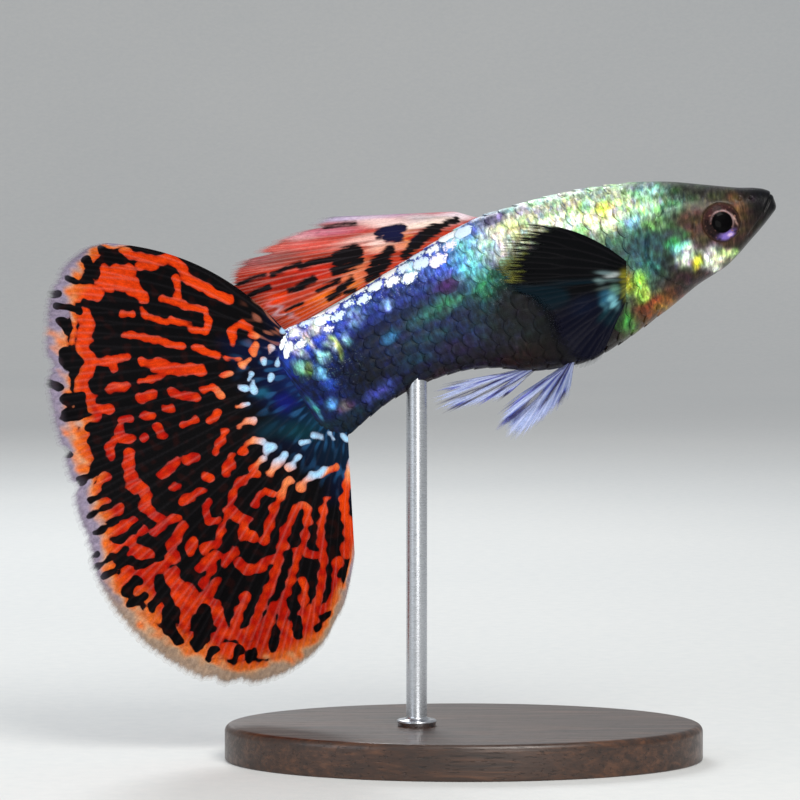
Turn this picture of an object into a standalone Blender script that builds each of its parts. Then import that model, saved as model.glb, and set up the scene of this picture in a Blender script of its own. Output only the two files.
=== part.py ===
"""Fancy guppy, an adult male, as a still life-size model held by a plain display stand.

Metres, +Z up, +X towards the snout. The fish's right side faces -Y. The origin is the centre of the
stand base's underside. Sizes are written in millimetres and become metres in world_point().

A place on the body is told by two numbers: `along`, from the snout tip back down the spine, and
`height`, above the spine and square to it.
"""

import math

import bmesh
import bpy
import numpy as np
from mathutils import Matrix, Vector

MM = 0.001

# Clearance between neighbouring pieces, and the least thickness of a fin
GAP = 0.3
FIN_THICKNESS = 0.5

# Spine: the snout is up, and the stalk of the tail bends further down
SNOUT_X = 19.44
SNOUT_Z = 34.81
HEAD_PITCH = 17.0
STALK_PITCH = 31.0
BEND_START = 16.0
BEND_END = 28.0
SIDE_BEND_START = 10.0
SIDE_BEND_END = 31.0
SIDE_BEND = -1.3
SPINE_STEP = 0.25

# Body: along, height of the back, depth of the belly, half of the width
BODY_SECTIONS = (
    (0.0, 0.58, 0.24, 0.60),
    (0.3, 1.02, 0.48, 0.98),
    (1.0, 1.38, 0.98, 1.36),
    (2.0, 1.70, 1.62, 1.75),
    (4.0, 2.51, 2.80, 2.25),
    (6.0, 3.31, 3.40, 2.55),
    (8.0, 3.89, 4.23, 2.75),
    (10.0, 4.31, 4.99, 2.90),
    (12.0, 4.58, 5.63, 2.98),
    (14.0, 4.71, 6.03, 2.95),
    (16.0, 4.76, 5.92, 2.75),
    (18.0, 4.72, 5.45, 2.45),
    (20.0, 4.35, 4.65, 2.10),
    (22.0, 3.94, 4.08, 1.80),
    (24.0, 3.69, 3.74, 1.55),
    (26.0, 3.54, 3.54, 1.35),
    (28.0, 3.50, 3.55, 1.15),
    (30.6, 3.78, 3.95, 0.75),
)
SECTION_SIDES = 28
SNOUT_SQUARENESS = 2.7
BODY_SQUARENESS = 2.1
SQUARENESS_FADE = 10.0

# Where the body is parted
HEAD_END = 8.6
TRUNK_END = 20.3
BODY_END = 30.6
RING_SPACING = 0.9

# Lower jaw: a wedge under a slanting mouth cut that starts at the snout tip
MOUTH_PITCH = 48.0
JAW_LENGTH = 3.2
MOUTH_HEIGHT = 0.45

# Eyes: slightly flattened balls
EYE_ALONG = 3.75
EYE_HEIGHT = -0.05
EYE_RADIUS = 1.27
EYE_HALF_DEPTH = 0.95
EYE_SIDE = 1.47
EYE_SEGMENTS = 20
EYE_RINGS = 12

# Gill covers: oval plates let into the sides of the head
GILL_ALONG = 6.62
GILL_HEIGHT = -1.05
GILL_HALF_LENGTH = 1.40
GILL_HALF_HEIGHT = 1.85
GILL_INNER_SIDE = 1.35
GILL_SEGMENTS = 28

# Tail fin: a fan of rays; share of the way down the stalk's end, then length of the ray there
TAIL_TOP_PITCH = -25.0
TAIL_BOTTOM_PITCH = 93.0
TAIL_RAY_LENGTHS = (
    (0.00, 12.7),
    (0.03, 14.0),
    (0.10, 15.6),
    (0.25, 16.3),
    (0.385, 16.5),
    (0.46, 17.1),
    (0.60, 19.0),
    (0.72, 19.4),
    (0.81, 18.5),
    (0.90, 15.5),
    (0.96, 12.0),
    (1.00, 7.8),
)
TAIL_TOP_BOW = 1.35
TAIL_BOW_SHARE = 0.3
TAIL_WAVE = 1.9
TAIL_WAVES = 1.45
TAIL_WAVE_PHASE = 0.02
TAIL_LEAN = 1.1
TAIL_RAYS = 30
TAIL_STEPS = 13

# Dorsal fin: share of the way back along its base, pitch of the ray there and its length
DORSAL_START = 17.85
DORSAL_END = 24.6
DORSAL_RAYS = (
    (0.00, 2.5, 10.0),
    (0.10, 3.8, 10.4),
    (0.22, 6.2, 12.1),
    (0.35, 7.8, 13.1),
    (0.50, 9.3, 12.6),
    (0.65, 13.6, 11.4),
    (0.82, 20.5, 9.7),
    (1.00, 27.3, 7.0),
)
DORSAL_LEAN = 0.9

# Pectoral fins: share of the way down the root, pitch and length as seen from the side
PECTORAL_ROOT_X = 9.88
PECTORAL_ROOT_TOP = 31.30
PECTORAL_ROOT_BOTTOM = 28.75
PECTORAL_RAYS = (
    (0.00, -20.4, 6.8),
    (0.08, -12.7, 7.8),
    (0.20, -5.8, 8.4),
    (0.30, -0.4, 8.25),
    (0.40, 4.1, 7.6),
    (0.50, 9.4, 6.3),
    (0.60, 22.0, 5.5),
    (0.75, 39.9, 5.6),
    (0.84, 50.0, 5.5),
    (0.90, 58.4, 5.0),
    (1.00, 65.6, 3.8),
)
PECTORAL_FLARE = 0.40
PECTORAL_CUP = 0.55

# Pelvic fins and anal fin: the same three numbers, from the rear of the root forwards
PELVIC_START = 16.6
PELVIC_END = 15.2
PELVIC_RAYS = (
    (0.0, 33.7, 3.1),
    (0.2, 40.4, 4.9),
    (0.4, 55.4, 4.9),
    (0.6, 60.6, 3.8),
    (0.8, 69.7, 2.6),
    (1.0, 82.0, 1.6),
)
PELVIC_SIDE = 0.75
PELVIC_FLARE = 0.22
ANAL_START = 19.8
ANAL_END = 18.0
ANAL_RAYS = (
    (0.00, 9.5, 3.6),
    (0.25, 17.9, 4.9),
    (0.50, 27.2, 5.1),
    (0.75, 31.7, 3.8),
    (1.00, 41.8, 2.4),
)
SMALL_FIN_RAYS = 12
SMALL_FIN_STEPS = 7

# Display stand: an oval base and one rod
BASE_LENGTH = 30.0
BASE_WIDTH = 20.0
BASE_HEIGHT = 2.25
BASE_EDGE = 0.45
BASE_SEGMENTS = 56
ROD_ALONG = 25.6
ROD_RADIUS = 0.65
ROD_SEGMENTS = 24
SOCKET_DEPTH = 1.2


def smooth_step(share):
    share = min(1.0, max(0.0, share))
    return share * share * (3 - 2 * share)


def curve_value(table, column, place):
    """The table's column at a place, on a smooth curve through the table's rows."""
    places = [row[0] for row in table]
    place = min(max(place, places[0]), places[-1])
    i = min(max(np.searchsorted(places, place) - 1, 0), len(table) - 2)

    def slope(k):
        before = table[max(k - 1, 0)]
        after = table[min(k + 1, len(table) - 1)]
        return (after[column] - before[column]) / (after[0] - before[0])

    low = table[i]
    high = table[i + 1]
    span = high[0] - low[0]
    s = (place - low[0]) / span
    return (
        (2 * s**3 - 3 * s**2 + 1) * low[column]
        + (s**3 - 2 * s**2 + s) * span * slope(i)
        + (3 * s**2 - 2 * s**3) * high[column]
        + (s**3 - s**2) * span * slope(i + 1)
    )


def spine_pitch(along):
    """How steeply the spine falls towards the tail, in radians."""
    bend = smooth_step((along - BEND_START) / (BEND_END - BEND_START))
    return math.radians(HEAD_PITCH + (STALK_PITCH - HEAD_PITCH) * bend)


def spine_line():
    """The spine's points in the side view, one for each step back from the snout."""
    steps = int(BODY_END / SPINE_STEP) + 8
    points = [(SNOUT_X, SNOUT_Z)]
    for i in range(steps):
        pitch = spine_pitch((i + 0.5) * SPINE_STEP)
        x, z = points[-1]
        points.append((x - SPINE_STEP * math.cos(pitch), z - SPINE_STEP * math.sin(pitch)))
    return np.array(points)


SPINE = spine_line()


def spine_side(along):
    return SIDE_BEND * smooth_step((along - SIDE_BEND_START) / (SIDE_BEND_END - SIDE_BEND_START))


def body_point(along, height, side=0.0):
    """A place in millimetres, told along the spine, above it and to the side of it."""
    place = along / SPINE_STEP
    steps = np.arange(len(SPINE))
    x = np.interp(place, steps, SPINE[:, 0])
    z = np.interp(place, steps, SPINE[:, 1])
    pitch = spine_pitch(along)
    return Vector(
        (
            x - height * math.sin(pitch),
            spine_side(along) + side,
            z + height * math.cos(pitch),
        )
    )


def body_size(along):
    """Height of the back, depth of the belly and half of the width there."""
    return [curve_value(BODY_SECTIONS, column, along) for column in (1, 2, 3)]


def squareness(along):
    fade = smooth_step(along / SQUARENESS_FADE)
    return SNOUT_SQUARENESS + (BODY_SQUARENESS - SNOUT_SQUARENESS) * fade


def section_point(along, angle, grow=0.0):
    """A point of the skin; the angle runs from the back, round the left side, to the belly."""
    back, belly, half_width = body_size(along)
    power = 2 / squareness(along)
    rise = math.copysign(abs(math.cos(angle)) ** power, math.cos(angle))
    spread = math.copysign(abs(math.sin(angle)) ** power, math.sin(angle))
    reach = back if rise > 0 else belly
    return body_point(along, (reach + grow) * rise, (half_width + grow) * spread)


def flank_width(along, height):
    """Half of the body's width at a height above the spine."""
    back, belly, half_width = body_size(along)
    reach = back if height > 0 else belly
    share = min(1.0, abs(height) / reach)
    power = squareness(along)
    return half_width * (1 - share**power) ** (1 / power)


def world_point(point):
    return Vector(point) * MM


def add_material(obj, colour, roughness, metallic=0.0):
    material = bpy.data.materials.new(obj.name)
    material.use_nodes = True
    shader = material.node_tree.nodes["Principled BSDF"]
    shader.inputs["Base Color"].default_value = (*colour, 1.0)
    shader.inputs["Roughness"].default_value = roughness
    shader.inputs["Metallic"].default_value = metallic
    obj.data.materials.append(material)


def new_object(name, mesh, collection):
    obj = bpy.data.objects.new(name, mesh)
    collection.objects.link(obj)
    mesh.shade_smooth()
    return obj


def mesh_from(name, points, faces):
    """A mesh of points in millimetres, with its faces turned outwards where it is closed."""
    mesh = bpy.data.meshes.new(name)
    mesh.from_pydata([world_point(p) for p in points], [], faces)
    bm = bmesh.new()
    bm.from_mesh(mesh)
    bmesh.ops.recalc_face_normals(bm, faces=bm.faces)
    bm.to_mesh(mesh)
    bm.free()
    return mesh


def body_length(name, start, end, collection, grow=0.0):
    """One length of the body, lofted through its sections."""
    inner = max(2, round((end - start) / RING_SPACING))
    places = [start + (end - start) * i / inner for i in range(inner + 1)]
    if start == 0.0:
        places[1:1] = [0.3]
    points = []
    for along in places:
        for side in range(SECTION_SIDES):
            points.append(section_point(along, 2 * math.pi * side / SECTION_SIDES, grow))
    faces = []
    for ring in range(len(places) - 1):
        for side in range(SECTION_SIDES):
            after = (side + 1) % SECTION_SIDES
            low = ring * SECTION_SIDES
            high = low + SECTION_SIDES
            faces.append((low + side, low + after, high + after, high + side))
    last = (len(places) - 1) * SECTION_SIDES
    faces.append(tuple(range(SECTION_SIDES)))
    faces.append(tuple(range(last + SECTION_SIDES - 1, last - 1, -1)))
    return new_object(name, mesh_from(name, points, faces), collection)


def fan_fin(name, rays, steps, point_of, collection):
    """A fin as a grid of rays and steps along them, given its thickness by Solidify."""
    points = []
    for ray in range(rays + 1):
        for step in range(steps + 1):
            points.append(point_of(ray / rays, step / steps))
    faces = []
    for ray in range(rays):
        for step in range(steps):
            low = ray * (steps + 1) + step
            high = low + steps + 1
            faces.append((low, low + 1, high + 1, high))
    obj = new_object(name, mesh_from(name, points, faces), collection)
    solidify = obj.modifiers.new("thickness", "SOLIDIFY")
    solidify.thickness = FIN_THICKNESS * MM
    solidify.offset = 0.0
    solidify.use_even_offset = True
    return obj


def ray_step(pitch, distance):
    """The way back along a ray that falls at a pitch in degrees, in the side view."""
    turn = math.radians(pitch)
    return Vector((-distance * math.cos(turn), 0.0, -distance * math.sin(turn)))


def tail_point(across, out):
    """The tail fin: across counts down the stalk's end, out counts from the root to the margin."""
    along = BODY_END + GAP
    back, belly, _ = body_size(BODY_END)
    root = body_point(along, back - (back + belly) * across)
    pitch = TAIL_TOP_PITCH + (TAIL_BOTTOM_PITCH - TAIL_TOP_PITCH) * across
    length = curve_value(TAIL_RAY_LENGTHS, 1, across)
    bow = TAIL_TOP_BOW * max(0.0, 1 - across / TAIL_BOW_SHARE) * 4 * out * (1 - out)
    wave = math.sin(2 * math.pi * (TAIL_WAVES * across + TAIL_WAVE_PHASE))
    side = out**1.4 * (TAIL_WAVE * wave + TAIL_LEAN)
    return root + ray_step(pitch, length * out) + ray_step(pitch + 90, -bow) + Vector((0, side, 0))


def dorsal_point(across, out):
    along = DORSAL_START + (DORSAL_END - DORSAL_START) * across
    root = body_point(along, body_size(along)[0] + GAP)
    pitch = curve_value(DORSAL_RAYS, 1, across)
    length = curve_value(DORSAL_RAYS, 2, across)
    return root + ray_step(pitch, length * out) + Vector((0, DORSAL_LEAN * out, 0))


def pectoral_point(across, out, hand):
    """A pectoral fin; hand is -1 on the fish's right side and 1 on its left."""
    z = PECTORAL_ROOT_TOP + (PECTORAL_ROOT_BOTTOM - PECTORAL_ROOT_TOP) * across
    along, height = body_place(PECTORAL_ROOT_X, z)
    side = flank_width(along, height) + GAP + FIN_THICKNESS / 2
    root = body_point(along, height, hand * side)
    pitch = curve_value(PECTORAL_RAYS, 1, across)
    length = curve_value(PECTORAL_RAYS, 2, across)
    cup = PECTORAL_CUP * math.sin(math.pi * across) * out**2
    flare = hand * (PECTORAL_FLARE * length * out - cup)
    return root + ray_step(pitch, length * out) + Vector((0, flare, 0))


def body_place(x, z):
    """The along and height of a point in the side view, found by stepping down the spine."""
    along = 0.0
    for _ in range(12):
        pitch = spine_pitch(along)
        foot = body_point(along, 0.0)
        along += (foot.x - x) * math.cos(pitch) + (foot.z - z) * math.sin(pitch)
    foot = body_point(along, 0.0)
    pitch = spine_pitch(along)
    return along, (foot.x - x) * math.sin(pitch) + (z - foot.z) * math.cos(pitch)


def pelvic_point(across, out, hand):
    along = PELVIC_START + (PELVIC_END - PELVIC_START) * across
    belly = body_size(along)[1]
    root = body_point(along, -belly - GAP, hand * PELVIC_SIDE)
    pitch = curve_value(PELVIC_RAYS, 1, across)
    length = curve_value(PELVIC_RAYS, 2, across)
    return root + ray_step(pitch, length * out) + Vector((0, hand * PELVIC_FLARE * length * out, 0))


def anal_point(across, out):
    along = ANAL_START + (ANAL_END - ANAL_START) * across
    root = body_point(along, -body_size(along)[1] - GAP)
    pitch = curve_value(ANAL_RAYS, 1, across)
    length = curve_value(ANAL_RAYS, 2, across)
    return root + ray_step(pitch, length * out)


def cut(obj, cutter, operation="DIFFERENCE"):
    modifier = obj.modifiers.new(cutter.name, "BOOLEAN")
    modifier.operation = operation
    modifier.solver = "EXACT"
    modifier.object = cutter


def hide_cutter(obj):
    obj.hide_render = True
    obj.display_type = "WIRE"
    return obj


def primitive(name, collection, location, rotation=(0, 0, 0), scale=(1, 1, 1)):
    """Takes the primitive that was just added, sizes it in millimetres and puts it in place."""
    obj = bpy.context.object
    obj.name = name
    obj.data.name = name
    for other in obj.users_collection:
        other.objects.unlink(obj)
    collection.objects.link(obj)
    obj.data.transform(Matrix.Diagonal((*[s * MM for s in scale], 1.0)))
    obj.location = world_point(location)
    obj.rotation_euler = rotation
    obj.data.shade_smooth()
    return obj


def eyeball(name, hand, collection, grow=0.0):
    bpy.ops.mesh.primitive_uv_sphere_add(segments=EYE_SEGMENTS, ring_count=EYE_RINGS, radius=1.0)
    radius = EYE_RADIUS + grow
    return primitive(
        name,
        collection,
        body_point(EYE_ALONG, EYE_HEIGHT, hand * EYE_SIDE),
        rotation=(math.radians(90), 0, 0),
        scale=(radius, radius, EYE_HALF_DEPTH + grow),
    )


def gill_prism(name, hand, collection, grow=0.0):
    """An oval prism through the cheek, from inside the head to well outside it."""
    bpy.ops.mesh.primitive_cylinder_add(vertices=GILL_SEGMENTS, radius=1.0, depth=2.0)
    outer = 2 * body_size(GILL_ALONG)[2]
    inner = GILL_INNER_SIDE - grow
    return primitive(
        name,
        collection,
        body_point(GILL_ALONG, GILL_HEIGHT, hand * (inner + outer) / 2),
        rotation=(math.radians(90), spine_pitch(GILL_ALONG) * -1, 0),
        scale=(GILL_HALF_LENGTH + grow, GILL_HALF_HEIGHT + grow, (outer - inner) / 2),
    )


def jaw_box(name, collection, grow=0.0):
    """A box whose top is the mouth cut and whose rear is the jaw's hinge line."""
    bpy.ops.mesh.primitive_cube_add(size=2.0)
    corner = body_point(0.0, MOUTH_HEIGHT)
    pitch = math.radians(MOUTH_PITCH)
    half_length = JAW_LENGTH
    half_depth = 2.0
    back = JAW_LENGTH + grow - half_length
    down = half_depth - grow
    centre = corner + Vector(
        (
            -back * math.cos(pitch) + down * math.sin(pitch),
            0.0,
            -back * math.sin(pitch) - down * math.cos(pitch),
        )
    )
    return primitive(
        name,
        collection,
        centre,
        rotation=(0, -pitch, 0),
        scale=(half_length, 2 * body_size(EYE_ALONG)[2], half_depth),
    )


def make_head(parts, cutters):
    head = body_length("head", 0.0, HEAD_END - GAP / 2, parts)
    add_material(head, (0.23, 0.22, 0.14), 0.35)
    jaw = body_length("lower_jaw", 0.0, HEAD_END - GAP / 2, parts)
    add_material(jaw, (0.16, 0.14, 0.15), 0.4)
    cut(head, hide_cutter(jaw_box("jaw_room", cutters, grow=GAP)))
    cut(jaw, hide_cutter(jaw_box("jaw_keep", cutters)), "INTERSECT")
    for side, hand in (("right", -1), ("left", 1)):
        eye = eyeball(f"eye_{side}", hand, parts)
        add_material(eye, (0.02, 0.015, 0.015), 0.1)
        room = hide_cutter(eyeball(f"socket_{side}", hand, cutters, grow=GAP))
        cut(head, room)
        cut(jaw, room)
        cover = body_length(f"gill_cover_{side}", 0.0, HEAD_END - GAP / 2, parts)
        add_material(cover, (0.35, 0.30, 0.22), 0.35)
        cut(cover, hide_cutter(gill_prism(f"gill_keep_{side}", hand, cutters)), "INTERSECT")
        cut(head, hide_cutter(gill_prism(f"gill_room_{side}", hand, cutters, grow=GAP)))


def make_body(parts):
    trunk = body_length("trunk", HEAD_END + GAP / 2, TRUNK_END - GAP / 2, parts)
    add_material(trunk, (0.20, 0.27, 0.36), 0.35, 0.3)
    stalk = body_length("tail_stalk", TRUNK_END + GAP / 2, BODY_END, parts)
    add_material(stalk, (0.13, 0.20, 0.40), 0.35, 0.3)


def make_fins(parts):
    tail = fan_fin("fin_tail", TAIL_RAYS, TAIL_STEPS, tail_point, parts)
    add_material(tail, (0.70, 0.12, 0.03), 0.5)
    dorsal = fan_fin("fin_dorsal", SMALL_FIN_RAYS, SMALL_FIN_STEPS, dorsal_point, parts)
    add_material(dorsal, (0.65, 0.17, 0.11), 0.5)
    anal = fan_fin("fin_anal", SMALL_FIN_RAYS, SMALL_FIN_STEPS, anal_point, parts)
    add_material(anal, (0.55, 0.60, 0.75), 0.5)
    for side, hand in (("right", -1), ("left", 1)):

        def pectoral(across, out, hand=hand):
            return pectoral_point(across, out, hand)

        def pelvic(across, out, hand=hand):
            return pelvic_point(across, out, hand)

        fin = fan_fin(f"fin_pectoral_{side}", SMALL_FIN_RAYS, SMALL_FIN_STEPS, pectoral, parts)
        add_material(fin, (0.01, 0.015, 0.02), 0.5)
        fin = fan_fin(f"fin_pelvic_{side}", SMALL_FIN_RAYS, SMALL_FIN_STEPS, pelvic, parts)
        add_material(fin, (0.60, 0.64, 0.78), 0.5)


def make_stand(parts, cutters):
    bpy.ops.mesh.primitive_cylinder_add(vertices=BASE_SEGMENTS, radius=1.0, depth=2.0)
    base = primitive(
        "stand_base",
        parts,
        (0, 0, BASE_HEIGHT / 2),
        scale=(BASE_LENGTH / 2, BASE_WIDTH / 2, BASE_HEIGHT / 2),
    )
    bevel = base.modifiers.new("rounded rim", "BEVEL")
    bevel.width = BASE_EDGE * MM
    bevel.segments = 3
    bevel.limit_method = "ANGLE"
    bevel.angle_limit = math.radians(60)
    add_material(base, (0.05, 0.035, 0.03), 0.45)
    belly = body_point(ROD_ALONG, -body_size(ROD_ALONG)[1])
    bpy.ops.mesh.primitive_cylinder_add(vertices=ROD_SEGMENTS, radius=1.0, depth=2.0)
    socket = primitive(
        "rod_socket",
        cutters,
        (belly.x, belly.y, BASE_HEIGHT),
        scale=(ROD_RADIUS + GAP, ROD_RADIUS + GAP, SOCKET_DEPTH),
    )
    cut(base, hide_cutter(socket))
    low = BASE_HEIGHT - SOCKET_DEPTH + GAP
    high = belly.z + 2 * ROD_RADIUS
    bpy.ops.mesh.primitive_cylinder_add(vertices=ROD_SEGMENTS, radius=1.0, depth=2.0)
    rod = primitive(
        "stand_rod",
        parts,
        (belly.x, belly.y, (low + high) / 2),
        scale=(ROD_RADIUS, ROD_RADIUS, (high - low) / 2),
    )
    room = body_length("belly_room", BEND_START, BODY_END, cutters, grow=GAP)
    cut(rod, hide_cutter(room))
    add_material(rod, (0.6, 0.6, 0.62), 0.3, 1.0)


def new_collection(name):
    collection = bpy.data.collections.new(name)
    bpy.context.scene.collection.children.link(collection)
    return collection


def main():
    for obj in list(bpy.data.objects):
        bpy.data.objects.remove(obj)
    parts = new_collection("fancy_guppy")
    cutters = new_collection("cutters")
    make_head(parts, cutters)
    make_body(parts)
    make_fins(parts)
    make_stand(parts, cutters)


main()
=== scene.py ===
"""Looks of the fancy guppy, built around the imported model.

Places are in millimetres of the row frame, and become metres where an object is made. A place on the
body is told as in the solids: `along` counts from the snout tip back down the spine, and `height` is
above the spine and square to it. A place on a fin is told by `across`, which counts over its rays
from 0 to 1, and `out`, which counts along them from 0 at the root to 1 at the margin.
"""

import functools
import math

import bpy
import numpy as np
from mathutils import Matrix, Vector


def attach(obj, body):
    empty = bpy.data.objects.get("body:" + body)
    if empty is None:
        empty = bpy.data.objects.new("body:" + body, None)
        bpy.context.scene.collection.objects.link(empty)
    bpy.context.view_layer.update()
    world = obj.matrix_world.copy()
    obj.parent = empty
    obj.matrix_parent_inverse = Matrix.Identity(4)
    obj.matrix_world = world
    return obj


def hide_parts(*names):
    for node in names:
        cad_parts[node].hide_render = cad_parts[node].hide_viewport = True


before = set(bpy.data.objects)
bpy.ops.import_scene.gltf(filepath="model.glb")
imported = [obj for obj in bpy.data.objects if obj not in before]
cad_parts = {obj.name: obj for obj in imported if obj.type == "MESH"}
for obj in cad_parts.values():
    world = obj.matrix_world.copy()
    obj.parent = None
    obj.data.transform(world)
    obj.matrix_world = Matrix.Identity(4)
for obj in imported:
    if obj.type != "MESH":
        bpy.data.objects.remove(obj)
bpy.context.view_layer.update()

MM = 0.001
BAKE_MAP = "OFBake"

# Spine and body sections, as in the solids
SNOUT_X = 19.44
SNOUT_Z = 34.81
HEAD_PITCH = 17.0
STALK_PITCH = 31.0
BEND_START = 16.0
BEND_END = 28.0
SIDE_BEND_START = 10.0
SIDE_BEND_END = 31.0
SIDE_BEND = -1.3
SPINE_STEP = 0.25
BODY_END = 30.6

# Place along the spine, height of the back, depth of the belly, half of the width
BODY_SECTIONS = (
    (0.0, 0.58, 0.24, 0.60),
    (0.3, 1.02, 0.48, 0.98),
    (1.0, 1.38, 0.98, 1.36),
    (2.0, 1.70, 1.62, 1.75),
    (4.0, 2.51, 2.80, 2.25),
    (6.0, 3.31, 3.40, 2.55),
    (8.0, 3.89, 4.23, 2.75),
    (10.0, 4.31, 4.99, 2.90),
    (12.0, 4.58, 5.63, 2.98),
    (14.0, 4.71, 6.03, 2.95),
    (16.0, 4.76, 5.92, 2.75),
    (18.0, 4.72, 5.45, 2.45),
    (20.0, 4.35, 4.65, 2.10),
    (22.0, 3.94, 4.08, 1.80),
    (24.0, 3.69, 3.74, 1.55),
    (26.0, 3.54, 3.54, 1.35),
    (28.0, 3.50, 3.55, 1.15),
    (30.6, 3.78, 3.95, 0.75),
)
SNOUT_SQUARENESS = 2.7
BODY_SQUARENESS = 2.1
SQUARENESS_FADE = 10.0

# Skin: one sheet from the snout into the root of the tail fin, with rings in spans of start, end, spacing
SNOUT_ROUND = 0.18
SKIN_END = 32.2
SKIN_AROUND = 208
RING_SPANS = ((0.0, 0.24, 0.03), (0.24, 1.5, 0.04), (1.5, 9.2, 0.055), (9.2, 32.2, 0.12))
HEAD_SKIN_DEPTH = 0.03
COAT_DEPTH = 0.12
GIRTH_ROWS = 170
GIRTH_SHARES = 257

# Mouth, eye, nostrils as along, height and radius, and the gill cover's free edge as height and along
MOUTH_FRONT_HEIGHT = 0.86
MOUTH_FALL = 1.15
MOUTH_LENGTH = 1.1
EYE_ALONG = 3.75
EYE_HEIGHT = -0.05
EYE_RADIUS = 1.27
PUPIL_RADIUS = 0.66
NOSTRILS = ((1.50, 0.86, 0.10), (2.18, 1.05, 0.14))
GILL_EDGE = ((-3.9, 5.7), (-3.1, 7.2), (-2.0, 8.4), (-0.6, 8.75), (0.8, 8.2), (1.7, 7.0))

# Scales: rows down the body, and plates round it in each row
SCALE_FIRST = 3.6
SCALE_LAST = 31.4
SCALE_SPACING = 0.95
SCALES_AROUND = 22
PLATE_STEPS = 10
PLATE_THICKNESS = 0.035
PLATE_HALF_LENGTH = 0.82 * SCALE_SPACING

# Half of a plate's width, in shares of the girth that the plates of a row divide evenly
PLATE_HALF_WIDTH = 0.66


def smooth_step(share):
    share = np.clip(share, 0.0, 1.0)
    return share * share * (3 - 2 * share)


def linear(colour):
    """A display colour as the linear values that a shader takes."""
    colour = np.asarray(colour, float)
    return np.where(colour <= 0.04045, colour / 12.92, ((colour + 0.055) / 1.055) ** 2.4)


def painted(colour, layers):
    """The colour with each layer's display colour mixed in by its weight, in turn."""
    for weight, shade in layers:
        colour = colour + weight[..., None] * (linear(shade) - colour)
    return colour


def even(shade, shape):
    """One display colour over a whole grid."""
    return np.broadcast_to(linear(shade), shape + (3,))


def curve_value(table, column, place):
    """The table's column at places, on a smooth curve through the table's rows."""
    rows = np.array(table, float)
    places = rows[:, 0]
    values = rows[:, column]
    before = np.concatenate([[0], np.arange(len(rows) - 1)])
    after = np.concatenate([np.arange(1, len(rows)), [len(rows) - 1]])
    slopes = (values[after] - values[before]) / (places[after] - places[before])
    place = np.clip(place, places[0], places[-1])
    i = np.clip(np.searchsorted(places, place) - 1, 0, len(rows) - 2)
    span = places[i + 1] - places[i]
    s = (place - places[i]) / span
    return (
        (2 * s**3 - 3 * s**2 + 1) * values[i]
        + (s**3 - 2 * s**2 + s) * span * slopes[i]
        + (3 * s**2 - 2 * s**3) * values[i + 1]
        + (s**3 - s**2) * span * slopes[i + 1]
    )


def spine_pitch(along):
    bend = smooth_step((along - BEND_START) / (BEND_END - BEND_START))
    return np.radians(HEAD_PITCH + (STALK_PITCH - HEAD_PITCH) * bend)


def spine_line():
    """The spine's points in the side view, one for each step back from the snout."""
    steps = int(BODY_END / SPINE_STEP) + 8
    pitch = spine_pitch((np.arange(steps) + 0.5) * SPINE_STEP)
    x = SNOUT_X - SPINE_STEP * np.cumsum(np.cos(pitch))
    z = SNOUT_Z - SPINE_STEP * np.cumsum(np.sin(pitch))
    return np.column_stack([np.append(SNOUT_X, x), np.append(SNOUT_Z, z)])


SPINE = spine_line()


def spine_side(along):
    return SIDE_BEND * smooth_step((along - SIDE_BEND_START) / (SIDE_BEND_END - SIDE_BEND_START))


def body_point(along, height, side=0.0):
    """Places told along the spine, above it and to the side of it."""
    steps = np.arange(len(SPINE)) * SPINE_STEP
    x = np.interp(along, steps, SPINE[:, 0])
    z = np.interp(along, steps, SPINE[:, 1])
    pitch = spine_pitch(along)
    y = spine_side(along) + side
    return np.stack(
        np.broadcast_arrays(x - height * np.sin(pitch), y, z + height * np.cos(pitch)), axis=-1
    )


def body_place(x, z):
    """The along and height of points in the side view, found by stepping down the spine."""
    along = np.zeros_like(x)
    for _ in range(12):
        pitch = spine_pitch(along)
        foot = body_point(along, 0.0)
        along = along + (foot[..., 0] - x) * np.cos(pitch) + (foot[..., 2] - z) * np.sin(pitch)
    foot = body_point(along, 0.0)
    pitch = spine_pitch(along)
    return along, (foot[..., 0] - x) * np.sin(pitch) + (z - foot[..., 2]) * np.cos(pitch)


def body_size(along):
    """Height of the back, depth of the belly and half of the width there."""
    back, belly, half_width = [curve_value(BODY_SECTIONS, c, along) for c in (1, 2, 3)]
    snout = (1 - (1 - np.clip(along / SNOUT_ROUND, 0.002, 1)) ** 2) ** 0.4
    beyond = np.clip((along - BODY_END) / (SKIN_END - BODY_END), 0, 1)
    paddle = np.sqrt(1 - 0.62 * beyond**2)
    thin = 0.14 + 0.86 * (1 - beyond) ** 0.8
    return back * snout * paddle, belly * snout * paddle, half_width * snout * thin


def squareness(along):
    fade = smooth_step(along / SQUARENESS_FADE)
    return SNOUT_SQUARENESS + (BODY_SQUARENESS - SNOUT_SQUARENESS) * fade


def section(along, angle):
    """Height and side of the body's outline. The angle runs from the back round the left."""
    back, belly, half_width = body_size(along)
    power = 2 / squareness(along)
    rise = np.sign(np.cos(angle)) * np.abs(np.cos(angle)) ** power
    spread = np.sign(np.sin(angle)) * np.abs(np.sin(angle)) ** power
    return np.where(rise > 0, back, belly) * rise, half_width * spread


def flank_width(along, height):
    """Half of the body's width at a height above the spine."""
    back, belly, half_width = body_size(along)
    share = np.minimum(1.0, np.abs(height) / np.where(height > 0, back, belly))
    power = squareness(along)
    return half_width * (1 - share**power) ** (1 / power)


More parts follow.
